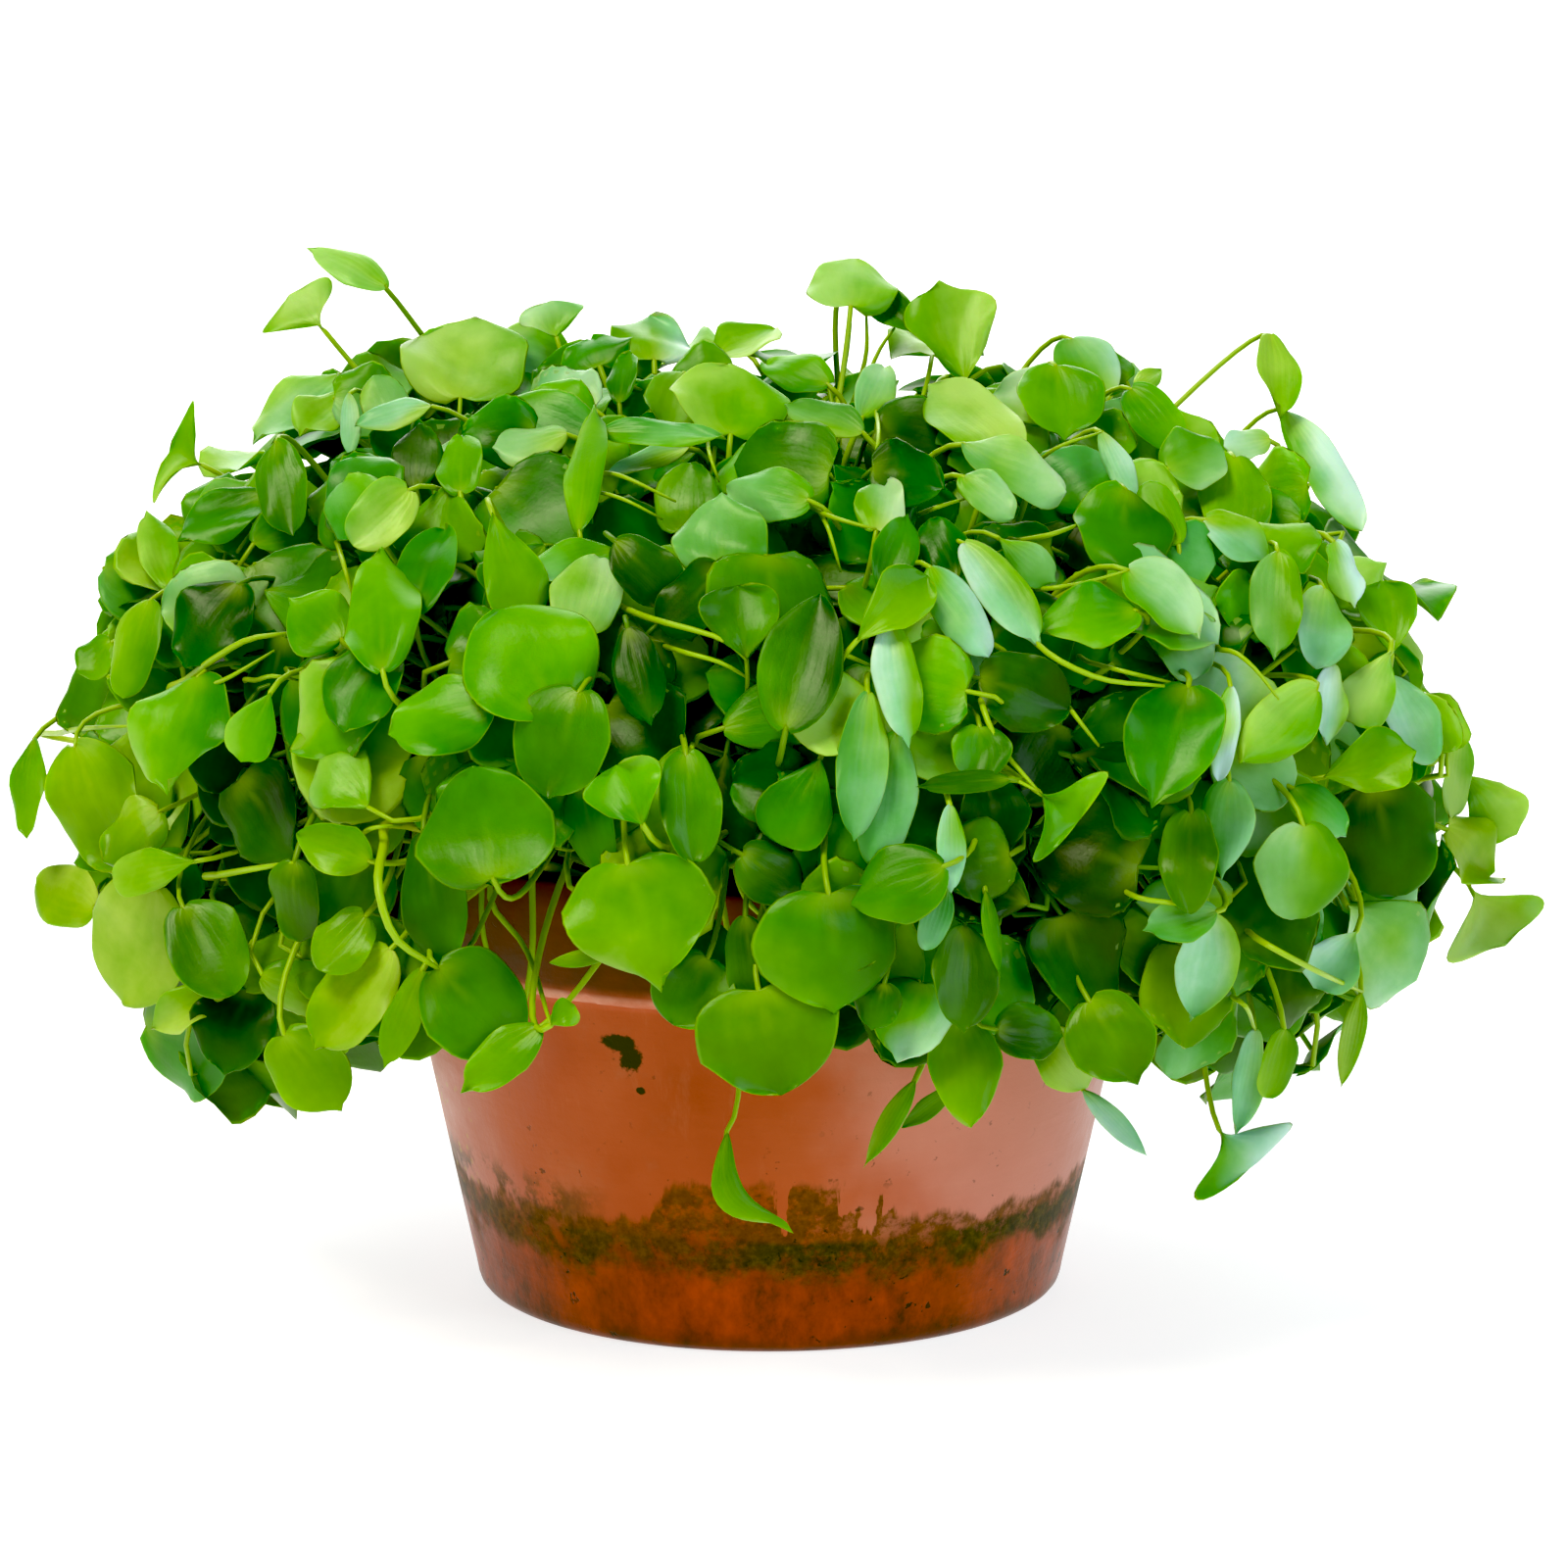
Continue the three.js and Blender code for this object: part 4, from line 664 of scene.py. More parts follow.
# Edges of the dense foliage in pixels of the photograph, which the fillers stay within: the upper edge all
# round, and the lower edge for those in front of the pot
CREST = [(30, 800), (60, 735), (100, 668), (150, 560), (200, 478), (260, 424), (330, 376), (400, 352)]
CREST += [(460, 330), (560, 326), (640, 334), (720, 348), (800, 366), (900, 372), (990, 366), (1060, 340)]
CREST += [(1120, 350), (1180, 392), (1230, 434), (1300, 470), (1380, 560), (1440, 660), (1490, 790)]
FRINGE = [(0, 900), (110, 1020), (350, 1110), (425, 1090), (452, 905), (590, 888), (640, 960), (700, 985)]
FRINGE += [(760, 1010), (830, 1070), (1010, 1096), (1100, 1085), (1230, 1120), (1400, 1035), (1600, 960)]

# Dark hollows in the foliage as ellipses in pixels of the photograph: middle and half sizes. The fillers
# there are thinned out and painted darker, as painted shade
HOLLOWS = [((1080, 830), (110, 200)), ((238, 800), (62, 210)), ((640, 735), (56, 66))]
HOLLOWS += [((905, 480), (110, 56)), ((800, 1010), (90, 60)), ((420, 480), (50, 40))]
HOLLOW_LIGHT = 0.2  # share of their lightness that the fillers keep there
HOLLOW_THIN = 0.55  # share of the outer fillers that is left out there
THINNING_SEED = 40009

# Petioles that show between the blades, in pixels of the photograph from the inner end out, with the radius
# in millimetres. ahead is how far in front of the pot's axis the hanging ones lie, proud ones lie before the
# mound's face, and upright ones stand in one plane under the top.
STEMS = [
    dict(path=[(640, 622), (667, 632), (742, 655), (765, 664)], radius=1.0),
    dict(path=[(680, 660), (700, 666), (735, 676), (765, 693)], radius=0.8),
    dict(path=[(840, 660), (862, 668), (890, 680)], radius=0.9),
    dict(path=[(1040, 640), (1079, 673), (1125, 693), (1188, 700)], radius=0.95, proud=4),
    dict(path=[(1112, 676), (1150, 686), (1194, 696)], radius=0.8),
    dict(path=[(1000, 700), (1003, 722), (1019, 759), (1060, 794)], radius=1.0),
    dict(path=[(1000, 772), (1030, 792), (1064, 817)], radius=0.8),
    dict(path=[(1085, 714), (1100, 734), (1121, 761)], radius=0.8),
    dict(path=[(1245, 663), (1264, 668), (1282, 684), (1305, 714)], radius=0.85, proud=4),
    dict(path=[(1140, 905), (1165, 917), (1213, 924), (1243, 940)], radius=0.85),
    dict(path=[(1280, 956), (1300, 968), (1340, 989), (1388, 1010)], radius=0.95, proud=9),
    dict(path=[(1050, 601), (1075, 600), (1110, 594), (1152, 580)], radius=0.8),
    dict(path=[(1252, 1014), (1268, 1024), (1293, 1038)], radius=0.8),
    dict(path=[(392, 862), (386, 905), (402, 955), (440, 992)], radius=1.45, proud=7),
    dict(path=[(503, 880), (501, 921), (532, 961), (562, 1034)], radius=0.95, ahead=103),
    dict(path=[(543, 900), (543, 974), (534, 1030), (526, 1062)], radius=1.0, ahead=101.5),
    dict(path=[(492, 885), (492, 945), (500, 985), (502, 1018)], radius=0.9, ahead=101.5),
    dict(path=[(423, 850), (424, 925), (440, 960), (461, 992)], radius=0.85, ahead=102.5),
    dict(path=[(750, 880), (756, 906), (768, 926), (790, 942)], radius=1.05, ahead=109),
    dict(path=[(370, 850), (385, 844), (410, 842)], radius=0.8),
    dict(path=[(190, 694), (222, 670), (255, 652), (296, 646)], radius=1.15),
    dict(path=[(200, 704), (236, 690), (280, 664)], radius=0.8),
    dict(path=[(228, 892), (262, 886), (312, 872)], radius=1.1),
    dict(path=[(262, 694), (282, 690), (304, 694)], radius=0.8),
    dict(path=[(345, 556), (352, 580), (362, 614)], radius=0.9),
    dict(path=[(816, 510), (850, 528), (893, 552)], radius=0.95),
    dict(path=[(836, 522), (848, 548), (858, 584)], radius=0.75),
    dict(path=[(930, 528), (955, 518), (988, 508)], radius=0.8),
    dict(path=[(1040, 552), (1070, 546), (1104, 534)], radius=0.95),
    dict(path=[(1060, 470), (1080, 456), (1108, 440)], radius=0.7),
    dict(path=[(612, 482), (640, 488), (690, 512)], radius=0.8),
    dict(path=[(602, 500), (642, 512), (676, 530)], radius=0.7),
    dict(path=[(856, 402), (864, 360), (868, 330)], radius=0.9, upright=True),
    dict(path=[(874, 400), (884, 360), (884, 322)], radius=0.85, upright=True),
    dict(path=[(884, 388), (898, 356), (916, 330)], radius=0.75, upright=True),
    dict(path=[(894, 420), (896, 450), (890, 486)], radius=0.75),
    dict(path=[(722, 446), (726, 470), (734, 492)], radius=0.75),
    dict(path=[(60, 748), (90, 743), (130, 741)], radius=0.95),
]
STEM_SEED = 60001
STEM_POINTS = 26
STEM_SIDES = 8
STEM_DEPTH = 4  # of their middle, behind the mound's face
STEM_SINK = 9  # how much deeper their ends go, under the blades
STEM_SCALE = 0.82  # of the radii above
STEM_REACH = 18  # pixels within which a stem's outer end finds the base of a seen leaf
STEM_CLEAR = 3  # half of the width in pixels that the fillers leave clear before a stem

# Steps of a fine blade from base to tip, and across it
BLADE_STEPS = (18, 12)
FILLER_STEPS = (11, 8)
BLADE_HALF = 0.32  # half of a fine blade's thickness at its middle
FINE_SEED = 90001

# Least and greatest of what each fine leaf draws, in this order: the wave of its edge, where its folds start,
# its petiole's thickness, the size and slant of its folds, the length of its tip, which is a notch under 0,
# its rise to both sides, how far its dome is undone, and the place and size of its corners
FINE_LIMITS = dict(wave=(0.03, 0.12), phase=(0, 1), stem=(0.85, 1.1), fold=(0.02, 0.075), slant=(-0.45, 0.45))
FINE_LIMITS |= dict(point=(-0.01, 0.12), keel=(-0.04, 0.2), flat=(0.35, 1.1), left_corner=(0.3, 0.75))
FINE_LIMITS |= dict(right_corner=(0.3, 0.75), angular=(0.0, 0.14))
ROUND_LIMITS = dict(point=(-0.03, 0.08))  # of the round and kidney blades in place of those
RELIEF_WIDTH = 25  # past which a wider blade has no deeper folds
BOX_MARGIN = 0.4  # millimetres left between the fine blades' middle surfaces and the box of the solids

PETIOLE_POINTS = 18  # along a fine petiole of the solids' leaves
FILLER_POINTS = 9  # and of the fillers
PETIOLE_TOP = 0.68  # radius of a fine petiole at the blade
PETIOLE_FOOT = 1.2  # and in the soil
PETIOLE_DIVE = 6  # how much further in than the solids' ones those of the front fans turn, behind the blades
TRAIL_LENGTH = 24  # for which some fillers' petioles run along the face before they turn in
FOOT_SPREAD = 7.5  # radius of the circle from which a plant's petioles rise

BLACK_LEVEL = (0.02, 0.012, 0.03)  # red, green and blue that the view's tone curve takes for black

POT_STEPS = 192
SOIL_STEPS = 144

# Leaf colours from dark to light, without and with the bluish painted sheen
WARM_GREENS = [(0.0, "#073801"), (0.28, "#1C6201"), (0.52, "#368601"), (0.78, "#62A604"), (1.0, "#98C64C")]
COOL_GREENS = [(0.0, "#0A4414"), (0.3, "#24742A"), (0.6, "#50A254"), (0.82, "#8ECAA4"), (1.0, "#C2E4DA")]

# Stains on the pot, in metres: the upper edge of the algae line, and the moss as the middles of a bar, a
# stroke down from it and a dot, with the stretch that gives each its shape
ALGAE_HEIGHT = 0.0295
MOSS = [((-0.0356, -0.079, 0.0792), (0.88, 0.3, 1.7)), ((-0.0331, -0.079, 0.0757), (1.5, 0.3, 0.78))]
MOSS += [((-0.0306, -0.079, 0.0674), (3.4, 0.3, 4.2))]

FLOOR_HALF = 14000
LIGHT_TARGET = Vector((0, 0, 0.13))  # in metres


# Mesh building


class Parts:
    """Collects vertices, faces and two point attributes for one mesh."""

    def __init__(self):
        self.points, self.faces, self.blade, self.tint = [], [], [], []
        self.count = 0

    def add(self, points, faces, blade, tint):
        self.points.append(points)
        self.faces += [tuple(corner + self.count for corner in face) for face in faces]
        self.blade.append(blade)
        self.tint.append(np.tile(tint, (len(points), 1)))
        self.count += len(points)

    def mesh(self, name, surface):
        mesh = new_mesh(name, np.clip(np.concatenate(self.points), BOX_LOW, BOX_HIGH), self.faces, surface)
        blade = mesh.attributes.new("blade", "FLOAT_VECTOR", "POINT")
        blade.data.foreach_set("vector", np.concatenate(self.blade).ravel())
        tint = mesh.attributes.new("tint", "FLOAT_COLOR", "POINT")
        tint.data.foreach_set("color", np.concatenate(self.tint).ravel())
        return mesh


def new_mesh(name, points, faces, surface):
    """A smooth mesh from points in millimetres."""
    mesh = bpy.data.meshes.new(name)
    mesh.from_pydata((points * MM).tolist(), [], faces)
    mesh.shade_smooth()
    mesh.materials.append(surface)
    return mesh


def add_object(name, data):
    thing = bpy.data.objects.new(name, data)
    bpy.context.scene.collection.objects.link(thing)
    return thing


def add_piece(mesh, node):
    """Stands the mesh for a node of the solids."""
    piece = add_object(mesh.name, mesh)
    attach(piece, "root")
    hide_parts(node)


def grid_faces(index):
    """Quads over a grid of vertex numbers."""
    a, b, c, d = index[:-1, :-1], index[1:, :-1], index[1:, 1:], index[:-1, 1:]
    return np.stack([a, b, c, d], -1).reshape(-1, 4).tolist()


def fine_surface(leaf, u, v):
    """The solid's blade surface, less domed, with a groove from the petiole, gentle folds, a wavy edge, an
    uneven outline with a corner on each side, and a small point or notch at the tip."""
    u, v = np.broadcast_arrays(np.asarray(u, float), np.asarray(v, float))
    phase, width = leaf["phase"], min(leaf["width"], RELIEF_WIDTH)
    near_base = np.minimum(u * 3, 1)
    lobed = np.sin(np.pi * (2.2 * u + phase * 2 + v * 0.4))
    lobed = lobed + 0.4 * np.sin(np.pi * (4.6 * u + phase * 6 - v * 0.7))
    from_corner = np.abs(u - np.where(v < 0, leaf["left_corner"], leaf["right_corner"]))
    corner = leaf["angular"] * np.exp(-from_corner / 0.13)
    points = blade_point(leaf, u, v * (1 + 0.036 * lobed + corner - 0.3 * leaf["angular"]))
    dome = KINDS[leaf["kind"]]["cup"] * half_width(leaf, u) * v * v
    keel = leaf["keel"] * width * (np.sqrt(v * v + 0.03) - 0.173) * near_base
    groove = 0.03 * width * np.exp(-((v / 0.3) ** 2) - u * 2.4) * np.minimum(u * 7, 1)
    fold = np.sin(2 * np.pi * (0.7 * u + leaf["slant"] * v + phase))
    fold = leaf["fold"] * width * fold * near_base
    wave = leaf["wave"] * width * np.abs(v) ** 3 * np.sin(2 * np.pi * (phase + u * 1.4 + v * 0.2))
    roll = 0.012 * width * np.maximum(np.abs(v) - 0.66, 0) ** 2 / 0.1
    point = leaf["point"] * leaf["length"] * np.exp(-(((1 - u) / 0.12) ** 2) - (v / 0.55) ** 2)
    lift = wave + fold + keel + dome * leaf["flat"] - groove - roll
    return points + lift[..., None] * leaf["normal"] + point[..., None] * leaf["axis"]


def blade_steps(along, across):
    """Values of u and v, closer together towards the ends and edges."""
    u = (1 - np.cos(np.linspace(0, np.pi, along + 1))) / 2
    v = np.sin(np.linspace(-np.pi / 2, np.pi / 2, across + 1))
    return u, v


def add_blade(parts, leaf, steps, tint):
    steps_u, steps_v = blade_steps(*steps)
    u, v = np.meshgrid(steps_u[1:-1], steps_v, indexing="ij")
    middle = fine_surface(leaf, u, v)
    taper = np.sqrt(1 - v * v) * (4 * u * (1 - u)) ** 0.3
    offset = (BLADE_HALF * taper)[..., None] * leaf["normal"]
    rows, columns = u.shape
    ends = fine_surface(leaf, np.array([0.0, 1.0]), np.array([0.0, 0.0]))
    top = middle + offset
    under = (middle - offset)[:, 1:-1]
    points = np.concatenate([top.reshape(-1, 3), under.reshape(-1, 3), ends])
    above = np.arange(rows * columns).reshape(rows, columns)
    below = above.copy()
    below[:, 1:-1] = rows * columns + np.arange(rows * (columns - 2)).reshape(rows, columns - 2)
    base, tip = len(points) - 2, len(points) - 1
    faces = grid_faces(above) + [face[::-1] for face in grid_faces(below)]
    for row, pole, turn in ((0, base, 1), (-1, tip, -1)):
        for j in range(columns - 1):
            faces.append((pole, above[row, j], above[row, j + 1])[::turn])
            faces.append((pole, below[row, j + 1], below[row, j])[::turn])
    side_u, side_v = u[:, 1:-1].ravel(), v[:, 1:-1].ravel()
    on_top = np.stack([u.ravel(), v.ravel(), np.ones(u.size)], 1)
    on_under = np.stack([side_u, side_v, np.full(side_u.size, 2.0)], 1)
    poles = np.array([[0.0, 0.0, 1.0], [1.0, 0.0, 1.0]])
    parts.add(points, faces, np.concatenate([on_top, on_under, poles]), tint)


def add_tube(parts, path, radii, sides, tint):
    """A round stem along a path, closed at both ends."""
    path = np.array(path)
    tangents = np.gradient(path, axis=0)
    tangents /= np.linalg.norm(tangents, axis=1)[:, None]
    side = unit(np.cross(tangents[0], [0.31, 0.87, 0.38]))
    angles = np.arange(sides) * 2 * math.pi / sides
    rings = []
    for centre, tangent, radius in zip(path, tangents, radii):
        side = unit(side - tangent * side.dot(tangent))
        above = np.cross(tangent, side)
        rings.append(centre + radius * (np.cos(angles)[:, None] * side + np.sin(angles)[:, None] * above))
    count = len(path)
    points = np.concatenate(rings + [path[:1], path[-1:]])
    index = np.arange(count * sides).reshape(count, sides)
    closed = np.concatenate([index, index[:, :1]], 1)
    faces = [face[::-1] for face in grid_faces(closed)]
    faces += [(count * sides, closed[0, j + 1], closed[0, j]) for j in range(sides)]
    faces += [(count * sides + 1, closed[-1, j], closed[-1, j + 1]) for j in range(sides)]
    along = np.repeat(np.linspace(0, 1, count), sides)
    blade = np.zeros((len(points), 3))
    blade[: len(along), 0] = along
    blade[-1, 0] = 1
    parts.add(points, faces, blade, tint)


def box_shift(leaf):
    """How far a fine blade must move so that it stays in the box of the solids."""
    steps_u, steps_v = blade_steps(8, 8)
    points = fine_surface(leaf, *np.meshgrid(steps_u, steps_v, indexing="ij")).reshape(-1, 3)
    under = np.maximum(BOX_LOW + BOX_MARGIN - points.min(0), 0)
    return under - np.maximum(points.max(0) + BOX_MARGIN - BOX_HIGH, 0)


def fine_controls(leaf, place):
    """The petiole's points in the solids, led behind the blades that the fine one would cross."""
    controls = petiole_controls(leaf, place, leaf["bend"])
    axis = leaf["axis"]
    hanging = axis.dot(IMAGE_UP) < -0.4
    turning = leaf["kind"] in ("fan", "wing") or hanging
    if leaf.get("dive"):
        controls[1:3] = [point + LOOK * leaf["dive"] for point in controls[1:3]]
    if leaf.get("turned_in"):
        controls[2] = controls[3] - axis * 5 + LOOK * 14
    elif leaf.get("trailing"):
        controls[2] = controls[3] - axis * TRAIL_LENGTH - LOOK * 2
    elif turning and leaf["via"] is None and leaf["face_normal"].dot(LOOK) < 0:
        controls[2] = controls[2] + LOOK * PETIOLE_DIVE
    return controls


def add_leaf(parts, leaf, place, steps, sides):
    leaf["middle"] = leaf["middle"] + box_shift(leaf)
    controls = fine_controls(leaf, place)
    root = controls[0]
    foot_angle = leaf["phase"] * 2 * math.pi
    outward = unit(np.array([root[0] - place[0], root[1] - place[1], 1e-6]))
    foot = np.array([place[0], place[1], SOIL_TOP - 2]) + outward * FOOT_SPREAD * abs(math.cos(foot_angle))
    count = PETIOLE_POINTS if steps == BLADE_STEPS else FILLER_POINTS
    path = [foot, foot * 0.55 + root * 0.45 + UP * 2] + list(bezier(controls, np.linspace(0, 1, count)))
    under = leaf["normal"] * (BLADE_HALF + leaf["stem"] * PETIOLE_TOP * 0.5)
    path[-1] = path[-1] - under * 0.6
    path += [fine_surface(leaf, np.array(u), np.array(0.0)) - under for u in (0.12, 0.3)]
    shares = np.linspace(0, 1, len(path) - 2)
    radii = list(leaf["stem"] * (PETIOLE_FOOT + (PETIOLE_TOP - PETIOLE_FOOT) * np.sqrt(shares)))
    radii += [leaf["stem"] * PETIOLE_TOP * 0.6, leaf["stem"] * PETIOLE_TOP * 0.25]
    tint = (leaf["light"], leaf["cool"], leaf["phase"], 1.0)
    add_tube(parts, path, radii, sides, tint)
    add_blade(parts, leaf, steps, tint)


# Filling leaves


def projected(point):
    """Pixel of the photograph at which a point shows."""
    away = point - EYE
    scale = PIXELS_PER_MM * VIEW_DISTANCE / away.dot(LOOK)
    return IMAGE_SIZE / 2 + away.dot(RIGHT) * scale, IMAGE_SIZE / 2 - away.dot(IMAGE_UP) * scale


def in_foliage(leaf):
    """False where a filler would show past the foliage or on the pot's face, or would stand in the pot."""
    middle, radius = leaf["middle"], mean_radius(leaf)
    if math.hypot(middle[0], middle[1]) < RIM_RADIUS + 8 and middle[2] - radius < POT_HEIGHT + 4:
        return False
    across, down = projected(middle)
    columns, edge = zip(*CREST)
    if not columns[0] < across < columns[-1]:
        return False
    if down - radius * PIXELS_PER_MM * 0.6 < np.interp(across, columns, edge):
        return False
    if leaf["face_normal"].dot(LOOK) > 0.15:
        return True
    return down + radius * PIXELS_PER_MM < np.interp(across, *zip(*FRINGE))


def filler(draw, kind, length, **own):
    """A filling leaf, with the width and twist that both sorts draw alike."""
    width = length * (draw(0.55, 0.8) if kind == "oval" else draw(0.92, 1.25))
    return own | dict(kind=kind, length=length, width=width, twist=draw(-0.4, 0.4), bow=0, via=None)


def filler_leaf(layer, index):
    draw = make_draw(layer["seed"] + index * 3)
    spiral = spiral_place(index, layer["count"], LOWEST_FILLER, HIGHEST_FILLER, draw(-0.2, 0.2))
    face, face_normal, around, downhill = spiral
    heading = draw(-2.2, 2.2)
    tilt = around * draw(-0.7, 0.7) + downhill * draw(-0.35, 0.55)
    towards = -face_normal.dot(LOOK)
    turned = min(max((towards + 0.1) / 0.3, 0), 1)
    normal = unit(face_normal + UP * 0.25 + tilt - LOOK * 0.95 * turned)
    kind = FILLER_KINDS[int(draw(0, len(FILLER_KINDS)))]
    length = draw(*layer["lengths"])
    depths = layer["front" if towards > FRONT_FACING else "depth"]
    if layer is LAYERS[0] and abs(towards) < TOP_FACING and face_normal[2] > TOP_STEEPNESS:
        depths = CREST_DEPTH
    depth = draw(*depths)
    light, cool, sheen = draw(*layer["light"]), draw(-0.4, 0.2), draw(0, 1)
    # Painted light: fillers facing up at the top of the foliage are made lighter
    if abs(towards) < TOP_FACING and face_normal[2] > LIT_STEEPNESS:
        light = 0.42 + 0.5 * light
    if sheen < SHEEN_SHARE * face[0] / MOUND_WIDTH:
        light, cool = min(light + 0.15, 0.8), SHEEN_COOL
    axis = headed(normal, -downhill, around, heading)
    place = dict(middle=face - face_normal * depth, axis=axis, normal=normal, face_normal=face_normal)
    leaf = filler(draw, kind, length, depth=depth, light=light, cool=max(0.0, cool), **place)
    return leaf | dict(
        bend=(draw(0, 12), draw(-8, 8)),
        trailing=towards > FRONT_FACING and index % 3 == 0,
        turned_in=towards > FRONT_FACING and axis.dot(IMAGE_UP) < -0.5 and depth < OUTER_DEPTH,
    )


def crest_leaf(index):
    """A leaf right under the upper edge of the foliage, turned to the viewer."""
    draw = make_draw(CREST_FILL["seed"] + index * 3)
    across = draw(*CREST_FILL["across"])
    ray = pixel_ray((across, np.interp(across, *zip(*CREST)) + draw(*CREST_FILL["down"])))
    face = EYE + ray * on_mound(ray)
    depth = draw(*CREST_FILL["depth"])
    normal = unit(UP * 0.45 - LOOK * 0.9 + RIGHT * draw(-0.5, 0.5) + IMAGE_UP * draw(-0.3, 0.3))
    turn = draw(-2.1, 2.1)
    kind = FILLER_KINDS[int(draw(0, len(FILLER_KINDS)))]
    length = draw(*CREST_FILL["lengths"])
    place = dict(middle=face + LOOK * depth, normal=normal, face_normal=mound_normal(face))
    leaf = filler(draw, kind, length, depth=depth, axis=headed(normal, IMAGE_UP, RIGHT, turn), **place)
    return leaf | dict(
        light=draw(*CREST_FILL["light"]),
        cool=max(0.0, draw(-0.5, 0.8)),
        bend=(draw(-10, 0), draw(-8, 8)),
        trailing=index % 4 == 0,
        turned_in=abs(turn) > 1.1,
    )


def mean_radius(leaf):
    return (leaf["length"] + leaf["width"]) / 4


class Taken:
    """The blades that already have a place."""

    def __init__(self, leaves):
        self.middles = [leaf["middle"] for leaf in leaves]
        self.normals = [leaf["normal"] for leaf in leaves]
        self.radii = [mean_radius(leaf) for leaf in leaves]

    def free(self, leaf):
        away = np.array(self.middles) - leaf["middle"]
        mean = np.array(self.normals) + leaf["normal"]
        mean /= np.linalg.norm(mean, axis=1)[:, None] + 1e-9
        above = np.abs((away * mean).sum(1))
        sideways = np.linalg.norm(away - (away * mean).sum(1)[:, None] * mean, axis=1)
        radii = np.array(self.radii) + mean_radius(leaf)
        return not np.any((sideways < CLEAR_SIDEWAYS * radii) & (above < CLEAR_ABOVE))

    def take(self, leaf):
        self.middles.append(leaf["middle"])
        self.normals.append(leaf["normal"])
        self.radii.append(mean_radius(leaf))


class Outlines:
    """The seen leaves and stems as ellipses in the photograph, with their distance along the view."""

    def __init__(self, leaves, stems):
        rows = []
        for leaf in leaves:
            widest = widest_at(leaf)
            corners = [blade_point(leaf, u, v) for u, v in ((0, 0), (1, 0), (widest, -1), (widest, 1))]
            base, tip, left, right = (np.array(projected(corner)) for corner in corners)
            rows.append(((base + tip) / 2, (tip - base) / 2, (right - left) / 2, leaf["middle"].dot(LOOK)))
        for points in stems:
            for start, end in zip(points, points[1:]):
                first, last = np.array(projected(start)), np.array(projected(end))
                aside = unit(np.array([first[1] - last[1], last[0] - first[0]])) * STEM_CLEAR
                deeper = max(start.dot(LOOK), end.dot(LOOK))
                rows.append(((first + last) / 2, (last - first) / 2, aside, deeper))
        self.middles, self.along, self.across, self.depths = (np.array(column) for column in zip(*rows))

    def push(self, middle, radius):
        """How far a blade must go in so as not to cover a seen leaf."""
        spread = COVER_SHARE * radius * PIXELS_PER_MM
        offset = np.array(projected(middle)) - self.middles
        shares = 0
        for half in (self.along, self.across):
            size = np.linalg.norm(half, axis=1) + 1e-6
            shares = shares + ((offset * half).sum(1) / size / (size + spread)) ** 2
        behind = np.where(shares < 1, self.depths + COVER_BEHIND - middle.dot(LOOK), 0)
        return max(0.0, behind.max())


def in_hollow(point):
    """1 in the middle of a dark hollow of the foliage, falling to 0 at its edge and outside."""
    across, down = projected(point)
    inside = 0.0
    for middle, half in HOLLOWS:
        away = ((across - middle[0]) / half[0]) ** 2 + ((down - middle[1]) / half[1]) ** 2
        inside = max(inside, min(1.0, 2 - 2 * away))
    return inside


def filler_leaves(placed, places, stems):
    taken = Taken(placed)
    outlines = Outlines([leaf for leaf in placed if leaf["inward"] is LOOK], stems)
    draw = make_draw(THINNING_SEED)
    fillers = []
    tried = [crest_leaf(index) for index in range(CREST_FILL["count"])]
    tried += [filler_leaf(layer, index) for layer in LAYERS for index in range(layer["count"])]
    for leaf in tried:
        thinned = draw(0, 1)
        if leaf["face_normal"].dot(LOOK) < SHOWN_FACING:
            hollow = in_hollow(leaf["middle"])
            # Painted shade: in the dark hollows the fillers lose lightness and their painted sheen
            leaf["light"] *= 1 - (1 - HOLLOW_LIGHT) * hollow
            leaf["cool"] *= 1 - hollow
            if leaf["depth"] < OUTER_DEPTH and thinned < HOLLOW_THIN * hollow:
                continue
            pushed = outlines.push(leaf["middle"], mean_radius(leaf))
            if pushed > DEEPEST_PUSH:
                continue
            leaf["middle"] = leaf["middle"] + LOOK * pushed
        if in_foliage(leaf) and taken.free(leaf):
            leaf["plant"] = nearest_plant(leaf, places)
            taken.take(leaf)
            fillers.append(leaf)
    return fillers


def nearest_plant(leaf, places):
    """The middle plant carries what stands steeply over the pot, and the ring carries the rest."""
    x, y, z = leaf["middle"]
    if z - SOIL_TOP > MIDDLE_ABOVE * math.hypot(x, y):
        return "middle"
    return min(RING_NAMES, key=lambda name: math.hypot(places[name][0] - x, places[name][1] - y))


def finish_leaf(leaf, index):
    """Gives a leaf what only its fine mesh needs."""
    draw = make_draw(FINE_SEED + index * 5)
    limits = FINE_LIMITS | (ROUND_LIMITS if leaf["kind"] in ("round", "kidney") else {})
    own_point = leaf.get("point")
    leaf.update({key: draw(*pair) for key, pair in limits.items()})
    leaf["point"] = own_point or leaf["point"]


